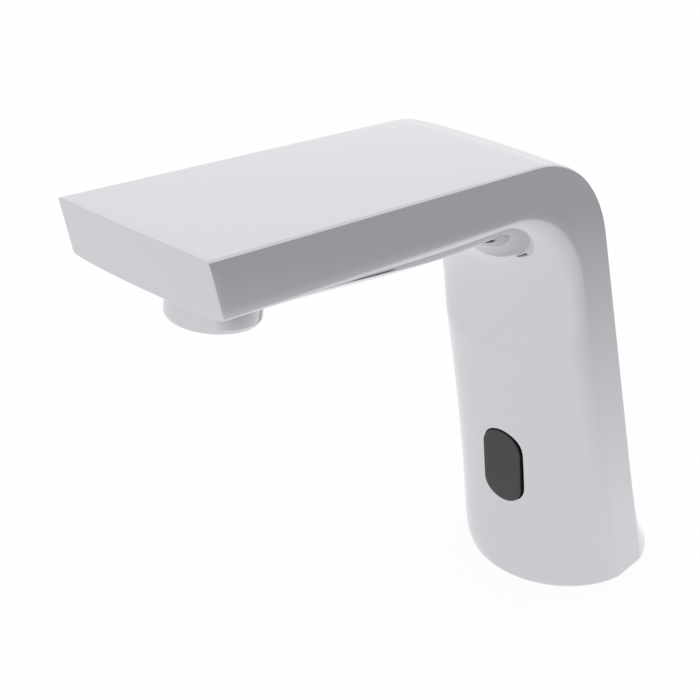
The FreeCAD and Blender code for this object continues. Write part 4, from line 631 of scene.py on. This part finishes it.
housing = Surface()
rings = housing.add(turned(eased(HOUSING_PROFILE, HOUSING_EASE), HOUSING_COLUMNS))
housing.faces.append(joined(np.roll(rings, -1, 0), rings))
aerator_ring = housing.make("aerator_sleeve")
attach(aerator_ring, "aerator_ring")
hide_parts("aerator_housing")
dressed(chrome, aerator_ring)

# Aerator insert, gasket and screen
# Moulded acetal cup with a face full of small holes, under a stainless mesh disc and a rubber
# washer. Only its face shows, from below.


# Acetal: milky white with a low sheen, its skin very slightly uneven from the mould.
def moulded(tree, place):
    """A shallow bump and a small change of roughness after noise about 1.5 mm across."""
    grain = add_node(tree, "ShaderNodeTexNoise", {"Vector": place, "Scale": per_mm(1.5), "Detail": 3.0})
    bump = raised(tree, grain.outputs["Fac"], 0.15, 0.02)
    rough = between(tree, grain.outputs["Fac"], 0.38, 0.5)
    return {"Normal": bump.outputs["Normal"], "Roughness": rough.outputs["Result"]}


acetal = finish("white_acetal", moulded, Base_Color=linear("#DADBD8"), IOR=1.48)
dressed(acetal, "aerator_insert")


# Nitrile rubber: matt black with a fine pitted skin.
def pitted(tree, place):
    """Colour between two dark greys and a bump after noise about 0.8 mm across."""
    grain = add_node(tree, "ShaderNodeTexNoise", {"Vector": place, "Scale": per_mm(0.8), "Detail": 4.0})
    tone = add_node(tree, "ShaderNodeMix", {"Factor": grain.outputs["Fac"]}, data_type="RGBA")
    tone.inputs["A"].default_value = linear("#1E1E1F")
    tone.inputs["B"].default_value = linear("#2E2E2F")
    bump = raised(tree, grain.outputs["Fac"], 0.4, 0.03)
    return {"Base Color": tone.outputs["Result"], "Normal": bump.outputs["Normal"]}


rubber = finish("nitrile_rubber", pitted, Roughness=0.75, IOR=1.52)
dressed(rubber, "aerator_gasket")


# Stainless steel: cool grey with fine lines from turning or drawing, about 0.3 mm apart.
def drawn(tree, place):
    """Noise stretched eight times along one axis changes the roughness and raises fine lines."""
    long = add_node(tree, "ShaderNodeMapping", {"Vector": place, "Scale": (1.0, 1.0, 8.0)})
    lines = {"Vector": long.outputs["Vector"], "Scale": per_mm(2.4), "Detail": 3.0}
    lines = add_node(tree, "ShaderNodeTexNoise", lines)
    rough = between(tree, lines.outputs["Fac"], 0.22, 0.42)
    bump = raised(tree, lines.outputs["Fac"], 0.2, 0.02)
    return {"Roughness": rough.outputs["Result"], "Normal": bump.outputs["Normal"]}


steel = finish("stainless_steel", drawn, Base_Color=linear("#BDBCB8"), Metallic=1.0)
dressed(steel, "aerator_screen")

# Outlet nipple, inlet, base insert and valve block
# Machined brass. The nipple is pressed into the spout, the inlet stands in the thick plate that
# closes the foot, and the block behind the window holds the diaphragm valve.


# Turned brass: warm yellow, dulled in soft patches some 5 mm across, with tool marks about 0.4 mm apart.
def machined(tree, place):
    """Colour from bright to dulled after broad noise, and a bump after noise stretched into lines."""
    patches = add_node(tree, "ShaderNodeTexNoise", {"Vector": place, "Scale": per_mm(5), "Detail": 3.0})
    tone = add_node(tree, "ShaderNodeMix", {"Factor": patches.outputs["Fac"]}, data_type="RGBA")
    tone.inputs["A"].default_value = linear("#C9A557")
    tone.inputs["B"].default_value = linear("#B8914A")
    long = add_node(tree, "ShaderNodeMapping", {"Vector": place, "Scale": (1.0, 1.0, 6.0)})
    marks = {"Vector": long.outputs["Vector"], "Scale": per_mm(2.4), "Detail": 2.0}
    marks = add_node(tree, "ShaderNodeTexNoise", marks)
    bump = raised(tree, marks.outputs["Fac"], 0.25, 0.02)
    rough = between(tree, patches.outputs["Fac"], 0.25, 0.4)
    colour, rough, normal = tone.outputs["Result"], rough.outputs["Result"], bump.outputs["Normal"]
    return {"Base Color": colour, "Roughness": rough, "Normal": normal}


brass = finish("turned_brass", machined, Metallic=1.0)
dressed(brass, "outlet_nipple", "inlet_body", "base_insert", "valve_body")

# Gaskets, seals, diaphragm and grommet
# Moulded rubber: the foot's pad, the rings at the tube ends, the valve's diaphragm and the cable's
# grommet, each held in a recess or groove.

dressed(
    rubber, "base_gasket", "diaphragm", "plunger_seal", "inlet_lower_seal", "inlet_upper_seal",
    "outlet_lower_seal", "outlet_upper_seal", "sensor_gasket", "cable_grommet",
)

# Screws, springs, strainer and the valve's steel parts
# Stainless steel, turned, wound or stamped: screws for the plate, bonnet, valve and sensor, two
# springs, the strainer, and the coil's case and clip.

dressed(
    steel, "insert_screw_left", "insert_screw_right", "inlet_strainer", "check_spring", "valve_bonnet",
    "bonnet_screw_one", "bonnet_screw_two", "bonnet_screw_three", "bonnet_screw_four", "plunger",
    "plunger_spring", "coil_case", "coil_clip", "valve_screw_left", "valve_screw_right",
    "sensor_screw_upper", "sensor_screw_lower",
)

# Moulded valve parts
# White acetal: the non-return valve's poppet and retainer, and the plate of the diaphragm.

dressed(acetal, "check_poppet", "check_retainer", "diaphragm_plate")

# Tubes
# Bent copper tube, from the inlet to the valve and on along the spout.


# Drawn copper: warm red-brown with browner patches about 8 mm across.
def tarnished(tree, place):
    """Colour and roughness between bright and browned after broad noise."""
    patches = add_node(tree, "ShaderNodeTexNoise", {"Vector": place, "Scale": per_mm(8), "Detail": 4.0})
    tone = add_node(tree, "ShaderNodeMix", {"Factor": patches.outputs["Fac"]}, data_type="RGBA")
    tone.inputs["A"].default_value = linear("#C98060")
    tone.inputs["B"].default_value = linear("#9C5B41")
    rough = between(tree, patches.outputs["Fac"], 0.25, 0.45)
    return {"Base Color": tone.outputs["Result"], "Roughness": rough.outputs["Result"]}


dressed(finish("drawn_copper", tarnished, Metallic=1.0), "inlet_tube", "outlet_tube")

# Coil
# Enamelled copper wire wound on a moulded bobbin inside the steel case.


# Enamelled wire: turns 0.25 mm apart under clear amber varnish, drawn as ridges round the bobbin.
def wound(tree, place):
    """Ridges from a wave across the winding's axis."""
    ridges = {"Vector": place, "Scale": per_mm(0.25) / 20}
    ridges = add_node(tree, "ShaderNodeTexWave", ridges, bands_direction="Z")
    bump = raised(tree, ridges.outputs["Fac"], 0.6, 0.1)
    return {"Normal": bump.outputs["Normal"]}


wire = finish("enamelled_wire", wound, Base_Color=linear("#A8592E"), Metallic=0.6, Roughness=0.3)
dressed(wire, "coil_winding")


# Glass-filled nylon: near black with a dull, finely rough skin.
def filled(tree, place):
    """A bump and a change of roughness after noise about 0.6 mm across."""
    grain = add_node(tree, "ShaderNodeTexNoise", {"Vector": place, "Scale": per_mm(0.6), "Detail": 3.0})
    bump = raised(tree, grain.outputs["Fac"], 0.3, 0.02)
    rough = between(tree, grain.outputs["Fac"], 0.45, 0.6)
    return {"Normal": bump.outputs["Normal"], "Roughness": rough.outputs["Result"]}


nylon = finish("black_nylon", filled, Base_Color=linear("#242426"), IOR=1.53)
dressed(nylon, "coil_bobbin", "sensor_housing")

# Sensor board, its eyes and the cable
# Glass-fibre board with a clear infrared emitter and a dark receiver in the nylon tray behind the
# window; the cable leaves through the foot in a PVC jacket.


# Glass-fibre board: green lacquer over a weave about 0.5 mm across.
def woven(tree, place):
    """Colour between two greens in small squares."""
    weave = add_node(tree, "ShaderNodeTexChecker", {"Vector": place, "Scale": per_mm(0.5)})
    weave.inputs["Color1"].default_value = linear("#1F5A38")
    weave.inputs["Color2"].default_value = linear("#236240")
    return {"Base Color": weave.outputs["Color"]}


dressed(finish("glass_fibre_board", woven, Roughness=0.35), "sensor_board")


# Epoxy: water clear for the emitter and smoked for the receiver, cast with a glossy skin.
def cast_epoxy(tree, place):
    """Roughness between two low values, after noise about 1 mm across."""
    cloud = add_node(tree, "ShaderNodeTexNoise", {"Vector": place, "Scale": per_mm(1), "Detail": 2.0})
    rough = between(tree, cloud.outputs["Fac"], 0.08, 0.16)
    return {"Roughness": rough.outputs["Result"]}


dressed(finish("clear_epoxy", cast_epoxy, Base_Color=linear("#C8CCD6"), IOR=1.54), "ir_emitter")
dressed(finish("smoked_epoxy", cast_epoxy, Base_Color=linear("#1B1A20"), IOR=1.54), "ir_receiver")
dressed(finish("pvc_jacket", filled, Base_Color=linear("#2A2A2C"), IOR=1.53), "sensor_cable")

# Camera
# Where the photographer stood: three quarters from the front, level, looking down 30 degrees. The
# lens is shifted to frame the picture.

CAMERA_PLACE = (244.23, -400.76, 341.16)
CAMERA_TURN = math.radians(42.334)
CAMERA_DROP = math.radians(29.837)
FRAME_SIDE = 700.0
FOCAL_LENGTH = 1572.96
LENS_AXIS = (310.41, 347.65)
SENSOR_SIZE = 36.0

optics = bpy.data.cameras.new("camera")
optics.sensor_width = SENSOR_SIZE
optics.lens = FOCAL_LENGTH / FRAME_SIDE * SENSOR_SIZE
optics.shift_x = (FRAME_SIDE / 2 - LENS_AXIS[0]) / FRAME_SIDE
optics.shift_y = (LENS_AXIS[1] - FRAME_SIDE / 2) / FRAME_SIDE
camera = bpy.data.objects.new("camera", optics)
camera.location = [value * MM for value in CAMERA_PLACE]
camera.rotation_euler = (math.pi / 2 - CAMERA_DROP, 0.0, CAMERA_TURN)
bpy.context.scene.collection.objects.link(camera)
bpy.context.scene.camera = camera

# Floor, room and lamps
# Paper floor in a white room, seen alike by the camera, mirrors and glass. The paper is white and
# turns softly to pale grey well to the right. A wide soft box behind lights the spout's top.

FLOOR_HALF = 4000.0
FLOOR_SEEN = 0.93
ROOM_LIGHT = 0.9
GREY_SKEW = 0.215
GREY_START, GREY_FULL = 55.0, 330.0
GREY_LAST, GREY_END = 700.0, 1400.0
BOX_AWAY, BOX_RISE, BOX_TURN = 3000.0, 14.0, 135.0
BOX_WIDE, BOX_HIGH = 4200.0, 1700.0
BOX_LEVEL = 0.11


def seen_share(tree, share):
    """A share for rays from the camera, a mirror or glass, and 0 for all others."""
    path = add_node(tree, "ShaderNodeLightPath").outputs
    most = {0: path["Is Camera Ray"], 1: path["Is Glossy Ray"]}
    most = add_node(tree, "ShaderNodeMath", most, operation="MAXIMUM").outputs[0]
    most = {0: most, 1: path["Is Transmission Ray"]}
    most = add_node(tree, "ShaderNodeMath", most, operation="MAXIMUM").outputs[0]
    return add_node(tree, "ShaderNodeMath", {0: most, 1: share}, operation="MULTIPLY").outputs[0]


def stage_mesh(name, corners):
    """Flat four-sided sheet of the stage, from its corners in millimetres."""
    mesh = bpy.data.meshes.new(name)
    mesh.from_pydata((np.array(corners) * MM).tolist(), [], [(0, 1, 2, 3)])
    item = bpy.data.objects.new(name, mesh)
    bpy.context.scene.collection.objects.link(item)
    return item


floor = stage_mesh("floor", [
    (-FLOOR_HALF, -FLOOR_HALF, -0.1), (FLOOR_HALF, -FLOOR_HALF, -0.1),
    (FLOOR_HALF, FLOOR_HALF, -0.1), (-FLOOR_HALF, FLOOR_HALF, -0.1),
])
picture_right = np.array([math.cos(CAMERA_TURN), math.sin(CAMERA_TURN), 0.0])
picture_away = np.array([-math.sin(CAMERA_TURN), math.cos(CAMERA_TURN), 0.0])
paper = bpy.data.materials.new("graded_paper")
paper.use_nodes = True
tree = paper.node_tree
tree.nodes.clear()
place = add_node(tree, "ShaderNodeTexCoord").outputs["Object"]
side = (picture_right - GREY_SKEW * picture_away).tolist()
side = add_node(tree, "ShaderNodeVectorMath", {0: place, 1: side}, operation="DOT_PRODUCT").outputs["Value"]
greyer, whiter = (
    add_node(tree, "ShaderNodeMapRange", {"Value": side, "From Min": first * MM, "From Max": last * MM},
             interpolation_type=kind).outputs["Result"]
    for first, last, kind in ((GREY_START, GREY_FULL, "LINEAR"), (GREY_LAST, GREY_END, "SMOOTHSTEP"))
)
share = add_node(tree, "ShaderNodeMath", {0: greyer, 1: whiter}, operation="SUBTRACT").outputs[0]
shade = add_node(tree, "ShaderNodeMix", {"Factor": share}, data_type="RGBA")
shade.inputs["A"].default_value = linear("#FFFFFF")
shade.inputs["B"].default_value = linear("#BDBDBE")
lit = add_node(tree, "ShaderNodeBsdfDiffuse", {"Color": shade.outputs["Result"]})
glow = add_node(tree, "ShaderNodeEmission", {"Color": shade.outputs["Result"], "Strength": 1.0})
mixed = {"Fac": seen_share(tree, FLOOR_SEEN), 1: lit.outputs[0], 2: glow.outputs[0]}
mixed = add_node(tree, "ShaderNodeMixShader", mixed)
add_node(tree, "ShaderNodeOutputMaterial", {"Surface": mixed.outputs[0]})
dressed(paper, floor)

box = bpy.data.lights.new("soft_box", "AREA")
box.shape = "RECTANGLE"
box.size, box.size_y = BOX_WIDE * MM, BOX_HIGH * MM
box.energy = BOX_LEVEL * math.pi * box.size * box.size_y
soft_box = bpy.data.objects.new("soft_box", box)
rise, turn_to = math.radians(BOX_RISE), math.radians(BOX_TURN)
soft_box.location = [BOX_AWAY * MM * part for part in (
    math.cos(rise) * math.cos(turn_to), math.cos(rise) * math.sin(turn_to), math.sin(rise),
)]
soft_box.rotation_euler = (math.pi / 2 - rise, 0.0, turn_to + math.pi / 2)
bpy.context.scene.collection.objects.link(soft_box)

room = bpy.data.worlds.new("white_room")
bpy.context.scene.world = room
room.use_nodes = True
tree = room.node_tree
tree.nodes.clear()
plain = add_node(tree, "ShaderNodeBackground", {"Color": linear("#FFFFFF"), "Strength": ROOM_LIGHT})
white = add_node(tree, "ShaderNodeBackground", {"Color": linear("#FFFFFF"), "Strength": 1.0})
mixed = {"Fac": seen_share(tree, 1.0), 1: plain.outputs[0], 2: white.outputs[0]}
mixed = add_node(tree, "ShaderNodeMixShader", mixed)
add_node(tree, "ShaderNodeOutputWorld", {"Surface": mixed.outputs[0]})
bpy.context.scene.view_settings.view_transform = "Standard"
